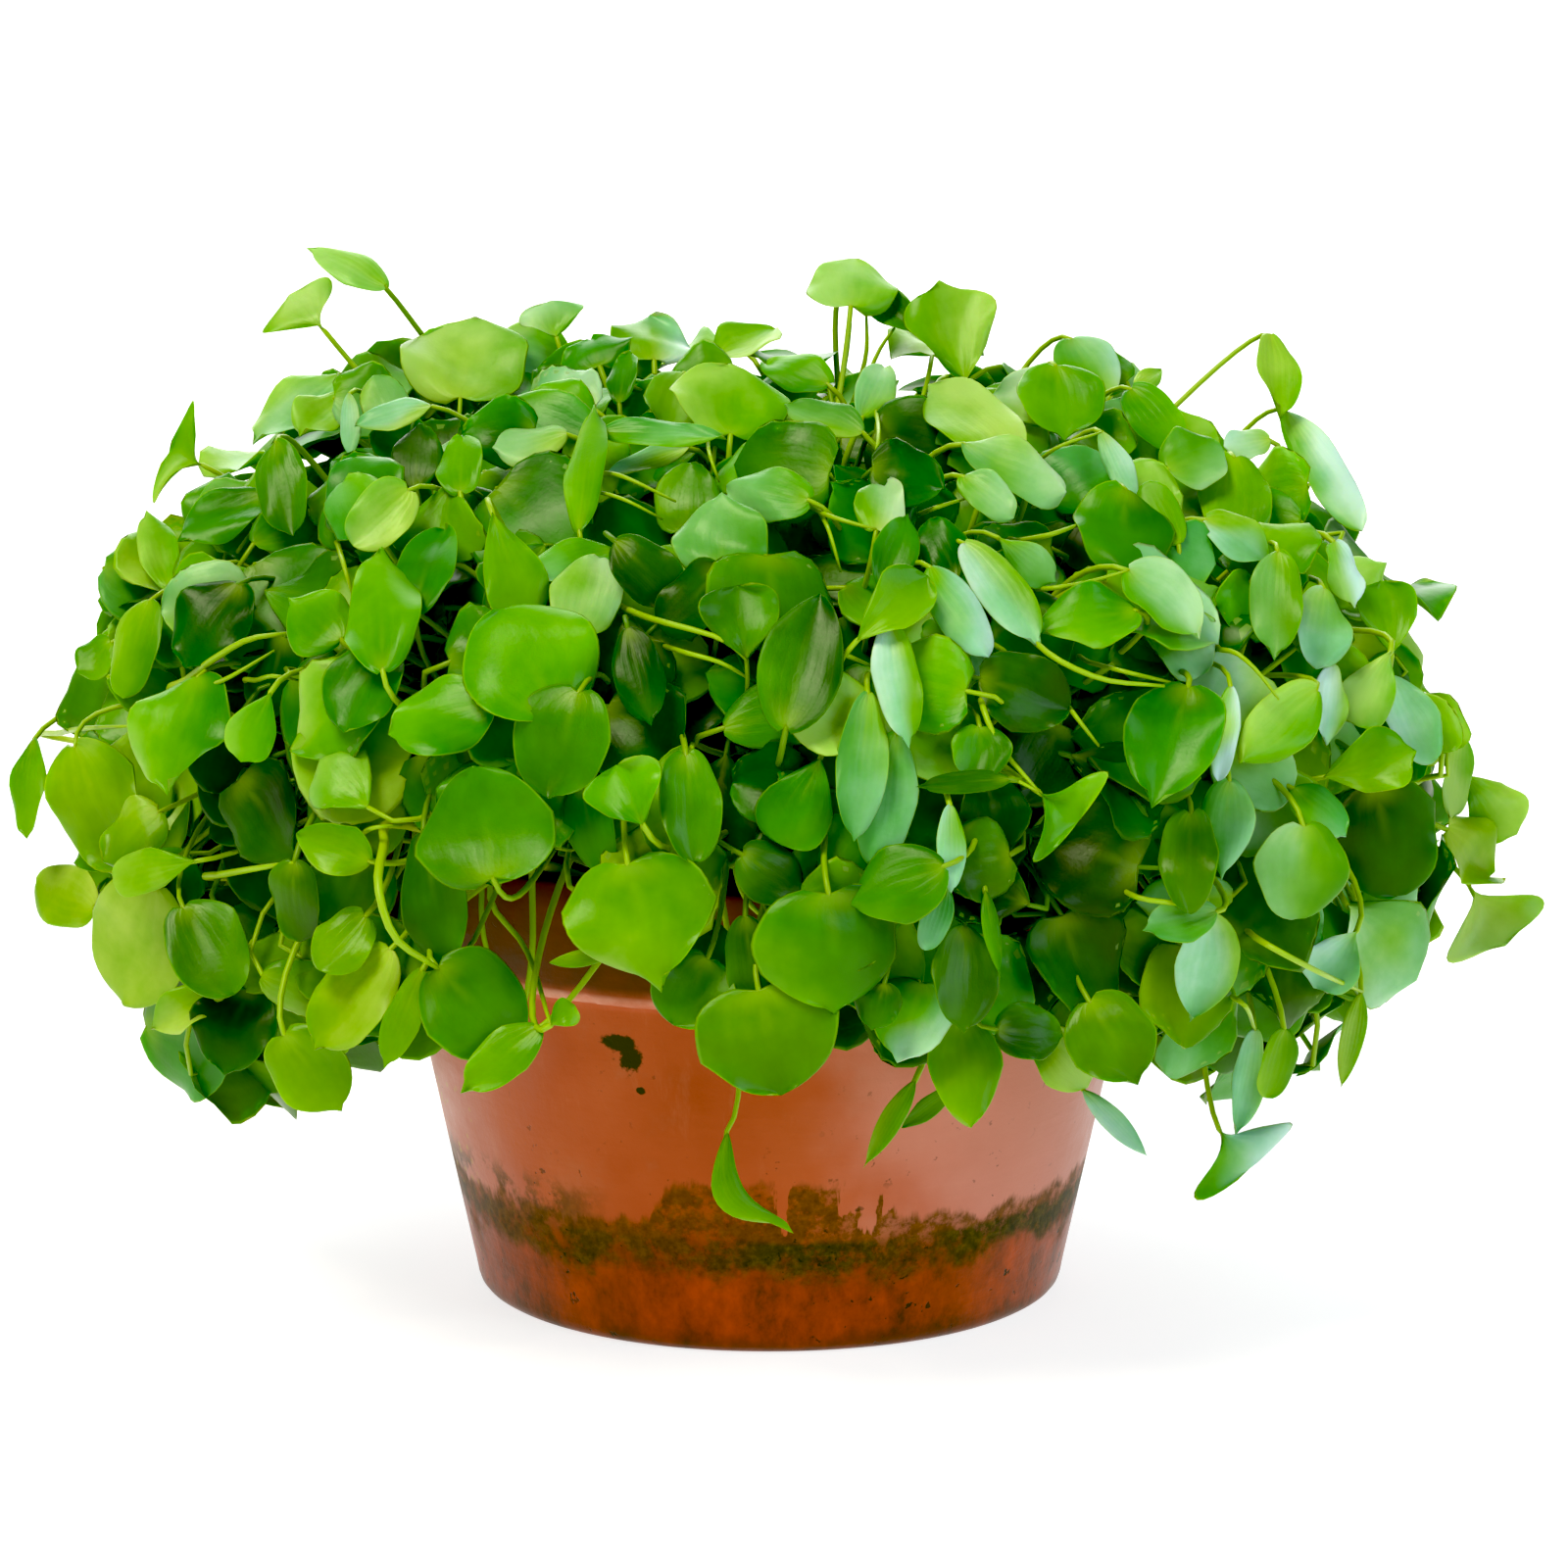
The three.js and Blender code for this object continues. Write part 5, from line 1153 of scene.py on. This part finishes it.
def stem_points(stem, leaves):
    """Points of a stem through its pixels, up to the base of the seen leaf there or under the blades."""
    base = None
    reach = STEM_REACH
    for leaf in leaves:
        foot = blade_point(leaf, 0, 0)
        away = math.dist(projected(foot), stem["path"][-1])
        if away < reach:
            base, reach = foot, away
    points = []
    count = len(stem["path"])
    for i, pixel in enumerate(stem["path"]):
        ray = pixel_ray(pixel)
        share = 2 * i / (count - 1) - 1
        sink = STEM_SINK * share**2 * (1.7 if share < 0 else base is None and "proud" not in stem)
        if "ahead" in stem:
            depth = (-stem["ahead"] - EYE[1]) / ray[1] + sink * 0.3
        elif "proud" in stem:
            depth = on_mound(ray) - stem["proud"] + sink
        elif "upright" in stem:
            depth = on_mound(pixel_ray(stem["path"][-1])) + 3
        else:
            depth = on_mound(ray) + STEM_DEPTH + sink
        points.append(EYE + ray * depth)
    if base is not None:
        points[-1] = base
    return points


def add_stem(parts, stem, points, places, index):
    """A petiole through the points, from a crown."""
    draw = make_draw(STEM_SEED + index * 7)
    first = points[0]
    plant = min(places, key=lambda name: math.dist(places[name], first[:2]))
    place = np.array([*places[plant], SOIL_TOP - 2.0])
    rise = np.array([*(place[:2] * 0.5 + first[:2] * 0.5), first[2] * 0.6 + SOIL_TOP * 0.4])
    inner = first + (first - points[1]) * 0.5 + LOOK * 6
    if "ahead" in stem:
        rise = np.array([first[0], first[1] * 0.7, max(first[2], POT_HEIGHT) + 16])
        inner = first + UP * 10 + LOOK * 4
    path = smooth_path([place, rise, inner] + points, STEM_POINTS)
    shares = np.linspace(0, 1, len(path))
    radii = STEM_SCALE * stem["radius"] * (1.15 - 0.3 * shares - 0.4 * shares**10)
    light = draw(0.75, 1.0)
    add_tube(parts[plant], path, radii, STEM_SIDES, (light, 0.1, draw(0, 1), 1.0))


def smooth_path(points, count):
    """Points along a smooth curve through the given ones, spaced by their distances."""
    points = np.array(points)
    steps = np.sqrt(np.linalg.norm(np.diff(points, axis=0), axis=1))
    knots = np.concatenate([[0], np.cumsum(steps)])
    slopes = np.gradient(points, knots, axis=0)
    result = []
    for t in np.linspace(0, knots[-1], count):
        i = min(np.searchsorted(knots, t, "right") - 1, len(knots) - 2)
        h = knots[i + 1] - knots[i]
        s = (t - knots[i]) / h
        a, b = (1 + 2 * s) * (1 - s) ** 2, s * (1 - s) ** 2
        c, d = s * s * (3 - 2 * s), s * s * (s - 1)
        result.append(a * points[i] + b * h * slopes[i] + c * points[i + 1] + d * h * slopes[i + 1])
    return result


def make_plants(places, surface):
    placed, left_out = leaves_of_the_solids(places)
    extra = [leaf for leaf in left_out if leaf["inward"] is LOOK]
    for leaf in extra:
        leaf["plant"], leaf["bend"] = nearest_plant(leaf, places), BENDS[0]
    in_photo = [leaf for leaf in placed if leaf["inward"] is LOOK] + extra
    stems = [stem_points(stem, in_photo) for stem in STEMS]
    fillers = filler_leaves(placed + extra, places, stems)
    parts = {plant: Parts() for plant in places}
    for index, leaf in enumerate(placed + extra + fillers):
        finish_leaf(leaf, index)
        fine = index < len(placed) + len(extra)
        steps, sides = (BLADE_STEPS, 8) if fine else (FILLER_STEPS, 6)
        add_leaf(parts[leaf["plant"]], leaf, places[leaf["plant"]], steps, sides)
    for index, (stem, points) in enumerate(zip(STEMS, stems)):
        add_stem(parts, stem, points, places, index)
    for plant, part in parts.items():
        add_piece(part.mesh("plant_" + plant, surface), "miners_lettuce_" + plant)


# Pot and soil


def pot_radius(height):
    return BASE_RADIUS + WALL_SLOPE * height


def inner_wall(height):
    top = RIM_RADIUS - WALL_THICKNESS + 0.5
    bottom = BASE_RADIUS - WALL_THICKNESS + 1
    return bottom + (top - bottom) * (height - FLOOR_THICKNESS) / (POT_HEIGHT - 1.5 - FLOOR_THICKNESS)


def corner_arc(middle, radius, start, end, count=5):
    """Points of a rounded corner, with angles in degrees from straight out."""
    angles = np.radians(np.linspace(start, end, count))
    return [(middle[0] + radius * math.cos(a), middle[1] + radius * math.sin(a)) for a in angles]


def pot_profile():
    """Radius, height and how far the edge is chipped, from the drain up the outside and down inside."""
    foot = corner_arc((pot_radius(CORNER_RADIUS) - CORNER_RADIUS, CORNER_RADIUS), CORNER_RADIUS, -90, -8)
    wall = [(pot_radius(h), h) for h in np.linspace(CORNER_RADIUS + 3, COLLAR_START - 2, 16)]
    neck = [(pot_radius(COLLAR_START), COLLAR_START - 0.3)]
    lip_radius = pot_radius(COLLAR_START) + COLLAR_OVERHANG
    lip = [(lip_radius - 0.9, COLLAR_START + 0.2), (lip_radius - 0.15, COLLAR_START + 0.9)]
    lip_end = (lip_radius + 0.1, COLLAR_START + 2)
    collar_top = (RIM_RADIUS - 0.1, POT_HEIGHT - 2.4)
    shares = np.linspace(0, 1, 9)
    collar = [tuple(np.array(lip_end) * (1 - s) + np.array(collar_top) * s) for s in shares]
    rim = corner_arc((RIM_RADIUS - RIM_ROUND, POT_HEIGHT - RIM_ROUND), RIM_ROUND, 10, 90)
    inner_rim = RIM_RADIUS - WALL_THICKNESS + 0.5
    rim += corner_arc((inner_rim + INNER_ROUND, POT_HEIGHT - INNER_ROUND), INNER_ROUND, 90, 180)
    inside = [(inner_wall(h), h) for h in np.linspace(POT_HEIGHT - 4, FLOOR_THICKNESS + FLOOR_CORNER, 8)]
    wide = DRAIN_RADIUS + DRAIN_EDGE
    floor = [(inner_wall(FLOOR_THICKNESS) - FLOOR_CORNER, FLOOR_THICKNESS), (wide, FLOOR_THICKNESS)]
    drain = [(DRAIN_RADIUS, FLOOR_THICKNESS - DRAIN_EDGE), (DRAIN_RADIUS, DRAIN_EDGE), (wide, 0)]
    chips = dict.fromkeys(lip, 1.0)
    chips[lip_end] = 0.5
    points = [(BASE_RADIUS - 8, 0)] + foot + wall + neck + lip + collar + rim + inside + floor + drain
    return [(radius, height, chips.get((radius, height), 0.0)) for radius, height in points]


def turned_mesh(name, surface, profile, steps, closed, shape):
    """A body turned round the pot's axis. shape moves each ring's points a little."""
    angles = np.arange(steps) * 2 * math.pi / steps
    points = np.concatenate([shape(angles, *entry) for entry in profile])
    index = np.arange(len(points)).reshape(len(profile), steps)
    index = np.concatenate([index, index[:, :1]], 1)
    if closed:
        index = np.concatenate([index, index[:1]], 0)
    faces = [face[::-1] for face in grid_faces(index)]
    if not closed:
        faces += [tuple(index[0, :-1]), tuple(index[-1, :-1][::-1])]
    return new_mesh(name, points, faces, surface)


def pot_ring(angles, radius, height, chip):
    """Nearly round, with small waves from throwing, and worn away in places along the collar's edge."""
    points = []
    for angle in angles:
        c, s = math.cos(angle), math.sin(angle)
        slow = noise.noise(Vector((c * 1.5, s * 1.5, height * 0.02))) * 0.25
        worn = max(0.0, noise.noise(Vector((c * 14, s * 14, 5.0))) - 0.12) * 4.5
        worn += max(0.0, noise.noise(Vector((c * 38, s * 38, 9.0)))) * 0.9
        lift = chip * worn
        reach = min(radius, RIM_RADIUS - 0.3) + slow - chip * worn * 0.55
        points.append((c * min(reach, RIM_RADIUS), s * min(reach, RIM_RADIUS), height + lift * 0.7))
    return np.array(points)


def make_pot(surface):
    mesh = turned_mesh("terracotta_pan", surface, pot_profile(), POT_STEPS, True, pot_ring)
    add_piece(mesh, "pot")


def soil_ring(angles, radius, height, lumps):
    points = []
    for angle in angles:
        x, y = radius * math.cos(angle), radius * math.sin(angle)
        big = noise.noise(Vector((x * 0.09, y * 0.09, 1.0)))
        small = noise.noise(Vector((x * 0.35, y * 0.35, 4.0)))
        lift = lumps * (big * 1.6 + small * 1.4)
        points.append((x, y, min(height + lift, SOIL_TOP + SOIL_DOME - 0.1)))
    return np.array(points)


def make_soil(surface):
    floor = FLOOR_THICKNESS + GAP
    profile = [(inner_wall(FLOOR_THICKNESS) - FLOOR_CORNER - GAP, floor, 0)]
    profile += [(inner_wall(floor + FLOOR_CORNER) - GAP, floor + FLOOR_CORNER, 0)]
    profile += [(inner_wall(h) - GAP, h, 0) for h in (40, 70, 95, SOIL_TOP - 4)]
    edge = inner_wall(SOIL_TOP) - 2
    domed = [(radius, SOIL_TOP - 1.5 + 2 * (1 - radius / edge), 1) for radius in np.linspace(edge, 0.5, 64)]
    mesh = turned_mesh("potting_soil", surface, profile + domed, SOIL_STEPS, False, soil_ring)
    add_piece(mesh, "soil")


# Surfaces


def rgb(text):
    """Linear colour and alpha of a colour written as in a style sheet."""
    values = [int(text[i : i + 2], 16) / 255 for i in (1, 3, 5)]
    return tuple(v / 12.92 if v <= 0.04045 else ((v + 0.055) / 1.055) ** 2.4 for v in values) + (1.0,)


class Value:
    """What a node of a surface puts out. Arithmetic on it adds further nodes."""

    def __init__(self, surface, socket):
        self.surface, self.socket = surface, socket

    def __add__(self, other):
        return self.surface.math("ADD", self, other)

    def __sub__(self, other):
        return self.surface.math("SUBTRACT", self, other)

    def __rsub__(self, other):
        return self.surface.math("SUBTRACT", other, self)

    def __mul__(self, other):
        return self.surface.math("MULTIPLY", self, other)

    def __abs__(self):
        return self.surface.math("ABSOLUTE", self)

    def step(self, low, high, start=0.0, end=1.0):
        """start below low and end above high, with a smooth change between them."""
        inputs = {"Value": self, "From Min": low, "From Max": high, "To Min": start, "To Max": end}
        return self.surface.node("MapRange", inputs, interpolation_type="SMOOTHSTEP")

    def fade(self, low, high):
        """1 below low and 0 above high."""
        return self.step(low, high, 1.0, 0.0)


class Surface:
    """A material on one Principled shader, whose nodes are added by short calls."""

    def __init__(self, name):
        self.material = bpy.data.materials.new(name)
        self.material.use_nodes = True
        self.tree = self.material.node_tree
        self.shader = self.tree.nodes["Principled BSDF"]

    def feed(self, socket, value):
        if isinstance(value, Value):
            self.tree.links.new(value.socket, socket)
        else:
            socket.default_value = rgb(value) if isinstance(value, str) else value

    def node(self, kind, inputs=(), out=0, **settings):
        """One output of a new node, by its number or name."""
        node = self.tree.nodes.new("ShaderNode" + kind)
        for key, value in settings.items():
            setattr(node, key, value)
        for key, value in dict(inputs).items():
            self.feed(node.inputs[key], value)
        return Value(self, node.outputs[out])

    def put(self, **inputs):
        """Sets the shader's sockets, with underscores for the spaces in their names."""
        for key, value in inputs.items():
            self.feed(self.shader.inputs[key.replace("_", " ")], value)

    def place(self):
        return self.node("TexCoord", out="Object")

    def split(self, kind, value):
        """The three parts of a vector, with kind XYZ, or of a colour, with kind Color."""
        first = self.node("Separate" + kind, {0: value})
        return [Value(self, socket) for socket in first.socket.node.outputs[:3]]

    def noise(self, vector, scale, detail=3.0, roughness=0.55):
        inputs = {"Vector": vector, "Scale": scale, "Detail": detail, "Roughness": roughness}
        return self.node("TexNoise", inputs)

    def cells(self, vector, scale):
        return self.node("TexVoronoi", {"Vector": vector, "Scale": scale}, feature="F1")

    def vector_math(self, operation, a, b=(0, 0, 0), out=0):
        return self.node("VectorMath", {0: a, 1: b}, out, operation=operation)

    def stretched(self, vector, scale):
        return self.vector_math("MULTIPLY", vector, scale)

    def math(self, operation, a, b=0.0):
        return self.node("Math", {0: a, 1: b}, operation=operation)

    def mix(self, share, a, b):
        return self.node("Mix", {0: share, 6: a, 7: b}, out=2, data_type="RGBA")

    def ramp(self, value, stops):
        ramp = self.node("ValToRGB", {"Fac": value})
        elements = ramp.socket.node.color_ramp.elements
        while len(elements) < len(stops):
            elements.new(0.5)
        for element, (place, colour) in zip(elements, stops):
            element.position = place
            element.color = rgb(colour)
        return ramp

    def bump(self, height, distance, strength=1.0):
        return self.node("Bump", {"Height": height, "Distance": distance, "Strength": strength})


def leaf_surface():
    s = Surface("miners_lettuce_leaf")
    along, across, part = s.split("XYZ", s.node("Attribute", out="Vector", attribute_name="blade"))
    light, cool, chance = s.split("Color", s.node("Attribute", out="Color", attribute_name="tint"))
    place = s.place()
    height = s.split("XYZ", place)[2]
    mottle = s.noise(place, 95, detail=4)
    grain = s.noise(place, 900, detail=2)
    from_middle = abs(across)

    # Faint veins run from the petiole to the tip
    comb = abs(s.math("SINE", across * 11.0 + s.noise(place, 140) * 2.6))
    veins = comb.step(0.5, 1.0) * along.fade(0.35, 1.0)
    midrib = from_middle.fade(0.0, 0.16) * along.fade(0.0, 0.6)

    # Painted shading: each blade drifts from darker to lighter along its length and across it, one way or the
    # other, as if lit from one side or end
    sideways = s.math("FRACT", chance * 7.3) - 0.5
    uneven = mottle + s.noise(place, 40, detail=2) - 1.0
    lightness = light + (along - 0.5) * (chance - 0.4) * 0.45 + across * sideways * 0.34
    lightness = lightness + uneven * 0.32 + veins * 0.015
    green = s.ramp(lightness, WARM_GREENS)

    # Bluish painted sheen on the cool ones, a painted reflection of cool light, over one side or end of the
    # blade and in broad soft patches
    slope = across * (chance - 0.5) + (along - 0.5) * 0.3
    patches = s.noise(place, 42, detail=1) + slope * 0.7
    painted_sheen = cool * patches.step(0.3, 0.62, 0.05, 1.0)
    green = s.mix(painted_sheen * 0.9, green, s.ramp(lightness, COOL_GREENS))

    # The lower blades are yellower and dimmer
    low = height.fade(0.11, 0.17) * cool.fade(0.1, 0.5)
    hue = chance.step(0.0, 1.0, 0.487, 0.507) - low * 0.018
    green = s.node("HueSaturation", {"Hue": hue, "Value": 1.0 - low * 0.08, "Color": green})

    # Pale foot, midrib and rim, and a paler under side
    foot = along.fade(0.0, 0.26) * from_middle.fade(0.1, 0.9)
    green = s.mix(s.math("MAXIMUM", midrib * 0.5, foot) * 0.32, green, "#A6C830")
    rim = from_middle.step(0.94, 0.99) * light.step(0.1, 0.7, 0.08, 0.42)
    green = s.mix(rim, green, "#97C62E")
    green = s.mix(part.step(1.2, 1.8) * 0.5, green, "#86B254")
    stem = s.mix(along.step(0.1, 0.8), "#BCCB48", "#93B828")
    # Petioles of darker blades are darker too, following the same mix of own tone and painted shade
    stem = s.mix(light.step(0.0, 0.75, 0.85, 0.0), stem, "#356A10")
    s.put(Base_Color=s.mix(part.step(0.4, 0.6), stem, green))

    s.put(Roughness=mottle.step(0.3, 0.7, 0.34, 0.45), Specular_IOR_Level=0.32, Specular_Tint="#F2FFE8")
    s.put(Subsurface_Weight=0.25, Subsurface_Radius=(0.35, 1.0, 0.05), Subsurface_Scale=0.0012)
    relief = grain * 0.2 + mottle * 0.5 - midrib * 0.3 + veins * 0.13
    s.put(Normal=s.bump(relief, 0.00022))
    return s.material


def pot_surface():
    s = Surface("weathered_terracotta")
    place = s.place()
    x, _, z = s.split("XYZ", place)
    broad = s.noise(place, 16, detail=4)
    patchy = s.noise(place, 55, detail=6, roughness=0.65)
    fine = s.noise(place, 420, detail=4, roughness=0.7)
    streaky = s.noise(s.stretched(place, (1.0, 1.0, 0.14)), 130, detail=5, roughness=0.7)
    mottled = s.noise(s.stretched(place, (1.0, 1.0, 0.6)), 120, detail=6, roughness=0.7)
    broad_shift, patchy_shift = broad - 0.5, patchy - 0.5

    clay = s.ramp(broad, [(0.3, "#A43E18"), (0.5, "#B24C26"), (0.7, "#BC5A34")])
    clay = s.mix(patchy.step(0.5, 0.75, 0.0, 0.45), clay, "#9C3A10")
    clay = s.mix((patchy + broad * 0.6).step(0.84, 1.08) * 0.3, clay, "#C87A58")
    clay = s.mix(streaky.step(0.56, 0.78) * 0.2, clay, "#CC8058")

    # Pinkish sheen down both sides, a painted reflection of the bright surroundings
    drawn = x + broad_shift * 0.09 + (z - 0.06) * 0.25
    sides = s.math("MAXIMUM", drawn.step(0.01, 0.06), drawn.step(-0.085, -0.05, 0.6, 0.0))
    clay = s.mix(sides * 0.66, clay, "#CE8C7C")

    # Damp foot, darker and more orange
    damp = (z + broad_shift * 0.012).fade(0.024, 0.034)
    foot_clay = s.ramp(mottled, [(0.3, "#421600"), (0.43, "#802A00"), (0.66, "#AC3C02")])
    clay = s.mix(damp * 0.95, clay, foot_clay)
    # Darker still along the very bottom edge
    bottom_edge_dark = (z + patchy_shift * 0.012).fade(0.001, 0.007)
    clay = s.mix(bottom_edge_dark * 0.6, clay, "#3A1800")

    # Algae: a dark line with a sharp upper edge, and a brown haze that stands up from it in columns at the
    # middle and in ragged patches at the left
    level = z + broad_shift * 0.004
    frayed = level + patchy_shift * 0.024
    columns = s.noise(s.stretched(place, (1.0, 1.0, 0.16)), 90, detail=5, roughness=0.6).step(0.38, 0.5)
    central = x.step(-0.034, -0.02) * x.fade(0.024, 0.034)
    reach = columns * central.step(0.0, 1.0, 0.25, 1.0) * 0.014 + (streaky - 0.5) * 0.012
    haze = frayed.step(0.017, 0.023) * (level - ALGAE_HEIGHT - reach).fade(-0.001, 0.002)
    faint = s.noise(s.stretched(place, (1.0, 1.0, 0.4)), 26).step(0.36, 0.58, 0.35, 1.0)
    line = frayed.step(0.018, 0.024) * level.fade(ALGAE_HEIGHT - 0.001, ALGAE_HEIGHT + 0.0007)
    line = line * (faint * x.step(-0.07, -0.02, 0.45, 1.0))
    holes = s.noise(place, 150, detail=6, roughness=0.75).step(0.36, 0.54, 0.35, 1.0)
    at_left = x.fade(-0.05, -0.036) * frayed.step(0.03, 0.034)
    ragged = at_left * frayed.fade(0.038, 0.044) * patchy.step(0.46, 0.56)
    brown = s.ramp(fine, [(0.32, "#401E02"), (0.5, "#5E3204"), (0.7, "#7A440A")])
    olive = s.ramp(fine, [(0.32, "#161300"), (0.5, "#302802"), (0.7, "#524408")])
    clay = s.mix(ragged * 0.8, clay, brown)
    clay = s.mix(haze * holes * 0.92, clay, brown)
    clay = s.mix(line * holes * 0.88, clay, olive)

    # Black specks, thicker towards the foot and at the left, with yellow lichen there
    thick = s.math("MAXIMUM", z.step(0.02, 0.07, 1.0, 0.25), x.step(-0.078, -0.062, 1.0, 0.4))
    thick = s.noise(place, 34).step(0.45, 0.56) * thick
    specks = s.noise(place, 260, roughness=0.6).step(0.65, 0.69) * thick
    clay = s.mix(specks * 0.9, clay, "#160F03")
    lichen = s.cells(place, 300).fade(0.14, 0.28) * (x.fade(-0.08, -0.066) * z.fade(0.05, 0.062))
    lichen = lichen * s.noise(place, 60).step(0.42, 0.52)
    clay = s.mix(lichen * 0.85, clay, "#B59A2A")

    # Collar darkened all round as painted shade from the leaves over it, with a worn pale edge
    collar = (z + patchy_shift * 0.006).step(0.0895, 0.094)
    clay = s.mix(collar * 0.88, clay, s.ramp(patchy, [(0.3, "#200800"), (0.7, "#5E1E02")]))
    edge = z.step(0.0885, 0.0893) * z.fade(0.0908, 0.0922)
    clay = s.mix(edge * patchy.step(0.35, 0.6, 0.3, 0.9), clay, "#D89A82")

    # One dark blotch of moss high on the front
    distance = 1.0
    for middle, scale in MOSS:
        offset = s.stretched(s.vector_math("SUBTRACT", place, middle), scale)
        distance = s.math("MINIMUM", s.vector_math("LENGTH", offset, out="Value"), distance)
    distance = distance + (fine - 0.5) * 0.005 + patchy_shift * 0.006
    s.put(Base_Color=s.mix(distance.step(0.0034, 0.0046, 0.97, 0.0), clay, "#101600"))

    s.put(Roughness=patchy.step(0.3, 0.7, 0.28, 0.42) + haze * 0.2, Specular_IOR_Level=0.2)
    s.put(Coat_Weight=0.08, Coat_Roughness=0.22)
    turning = s.noise(s.stretched(place, (0.12, 0.12, 1.0)), 380, detail=2)
    s.put(Normal=s.bump(fine * 0.4 + turning * 0.35 - specks * 0.4, 0.0004, 0.8))
    return s.material


def soil_surface():
    s = Surface("damp_soil")
    place = s.place()
    crumbs = s.cells(place, 420)
    lumps = s.noise(place, 160, detail=6, roughness=0.7)
    brown = s.ramp(lumps, [(0.3, "#120B07"), (0.55, "#2C1D14"), (0.75, "#4A3424")])
    flecks = s.cells(place, 190).fade(0.08, 0.13)
    s.put(Base_Color=s.mix(flecks * 0.5, brown, "#8A6E4C"))
    s.put(Roughness=lumps.step(0.3, 0.7, 0.75, 0.98), Specular_IOR_Level=0.3)
    s.put(Normal=s.bump(crumbs + lumps, 0.0015))
    return s.material


def floor_surface():
    s = Surface("pale_floor")
    tone = s.ramp(s.noise(s.place(), 3), [(0.0, "#B9B9B8"), (1.0, "#BDBDBC")])
    s.put(Base_Color=tone, Roughness=0.9, Specular_IOR_Level=0.1)
    s.put(Emission_Color="#FFFFFF", Emission_Strength=0.78)
    return s.material


# Floor, light and camera


def make_floor():
    corners = np.array([(-1, -1, 0), (1, -1, 0), (1, 1, 0), (-1, 1, 0)]) * FLOOR_HALF
    floor = add_object("floor", new_mesh("floor", corners, [(0, 1, 2, 3)], floor_surface()))


def add_aimed(name, data, place, direction):
    thing = add_object(name, data)
    thing.location = place
    thing.rotation_mode = "QUATERNION"
    thing.rotation_quaternion = Vector(direction).to_track_quat("-Z", "Y")
    return thing


def add_light(name, kind, place, direction, colour, **settings):
    light = bpy.data.lights.new(name, kind)
    light.color = rgb(colour)[:3]
    for key, value in settings.items():
        setattr(light, key, value)
    return add_aimed(name, light, place, direction)


def add_window(name, place, size, power, colour):
    """A soft round light that faces the plant and isn't itself seen."""
    direction = LIGHT_TARGET - Vector(place)
    lamp = add_light(name, "AREA", place, direction, colour, shape="DISK", size=size, energy=power)
    lamp.visible_camera = False


def make_light():
    world = bpy.data.worlds.new("studio")
    world.use_nodes = True
    sky = world.node_tree.nodes["Background"].inputs
    sky["Color"].default_value = rgb("#E6F4FF")
    sky["Strength"].default_value = 0.3
    bpy.context.scene.world = world
    sun = dict(energy=2.8, angle=math.radians(24))
    add_light("key_left", "SUN", (0, 0, 0), (0.42, 0.5, -1.0), "#FFF3D6", **sun)
    add_window("window_right", (1.5, -1.3, 1.0), 1.0, 14, "#CFE4FF")
    add_window("window_back", (-0.2, 1.7, 1.1), 1.8, 30, "#FFFFFF")
    view = bpy.context.scene.view_settings
    view.view_transform = "Standard"
    view.use_curve_mapping = True
    view.curve_mapping.black_level = BLACK_LEVEL
    view.curve_mapping.update()


def make_camera():
    camera = bpy.data.cameras.new("camera")
    camera.sensor_width = 36
    camera.lens = camera.sensor_width * PIXELS_PER_MM * VIEW_DISTANCE / IMAGE_SIZE
    bpy.context.scene.camera = add_aimed("camera", camera, EYE * MM, LOOK)


def main():
    make_camera()
    make_pot(pot_surface())
    make_soil(soil_surface())
    make_plants(crown_places(), leaf_surface())
    make_floor()
    make_light()


main()
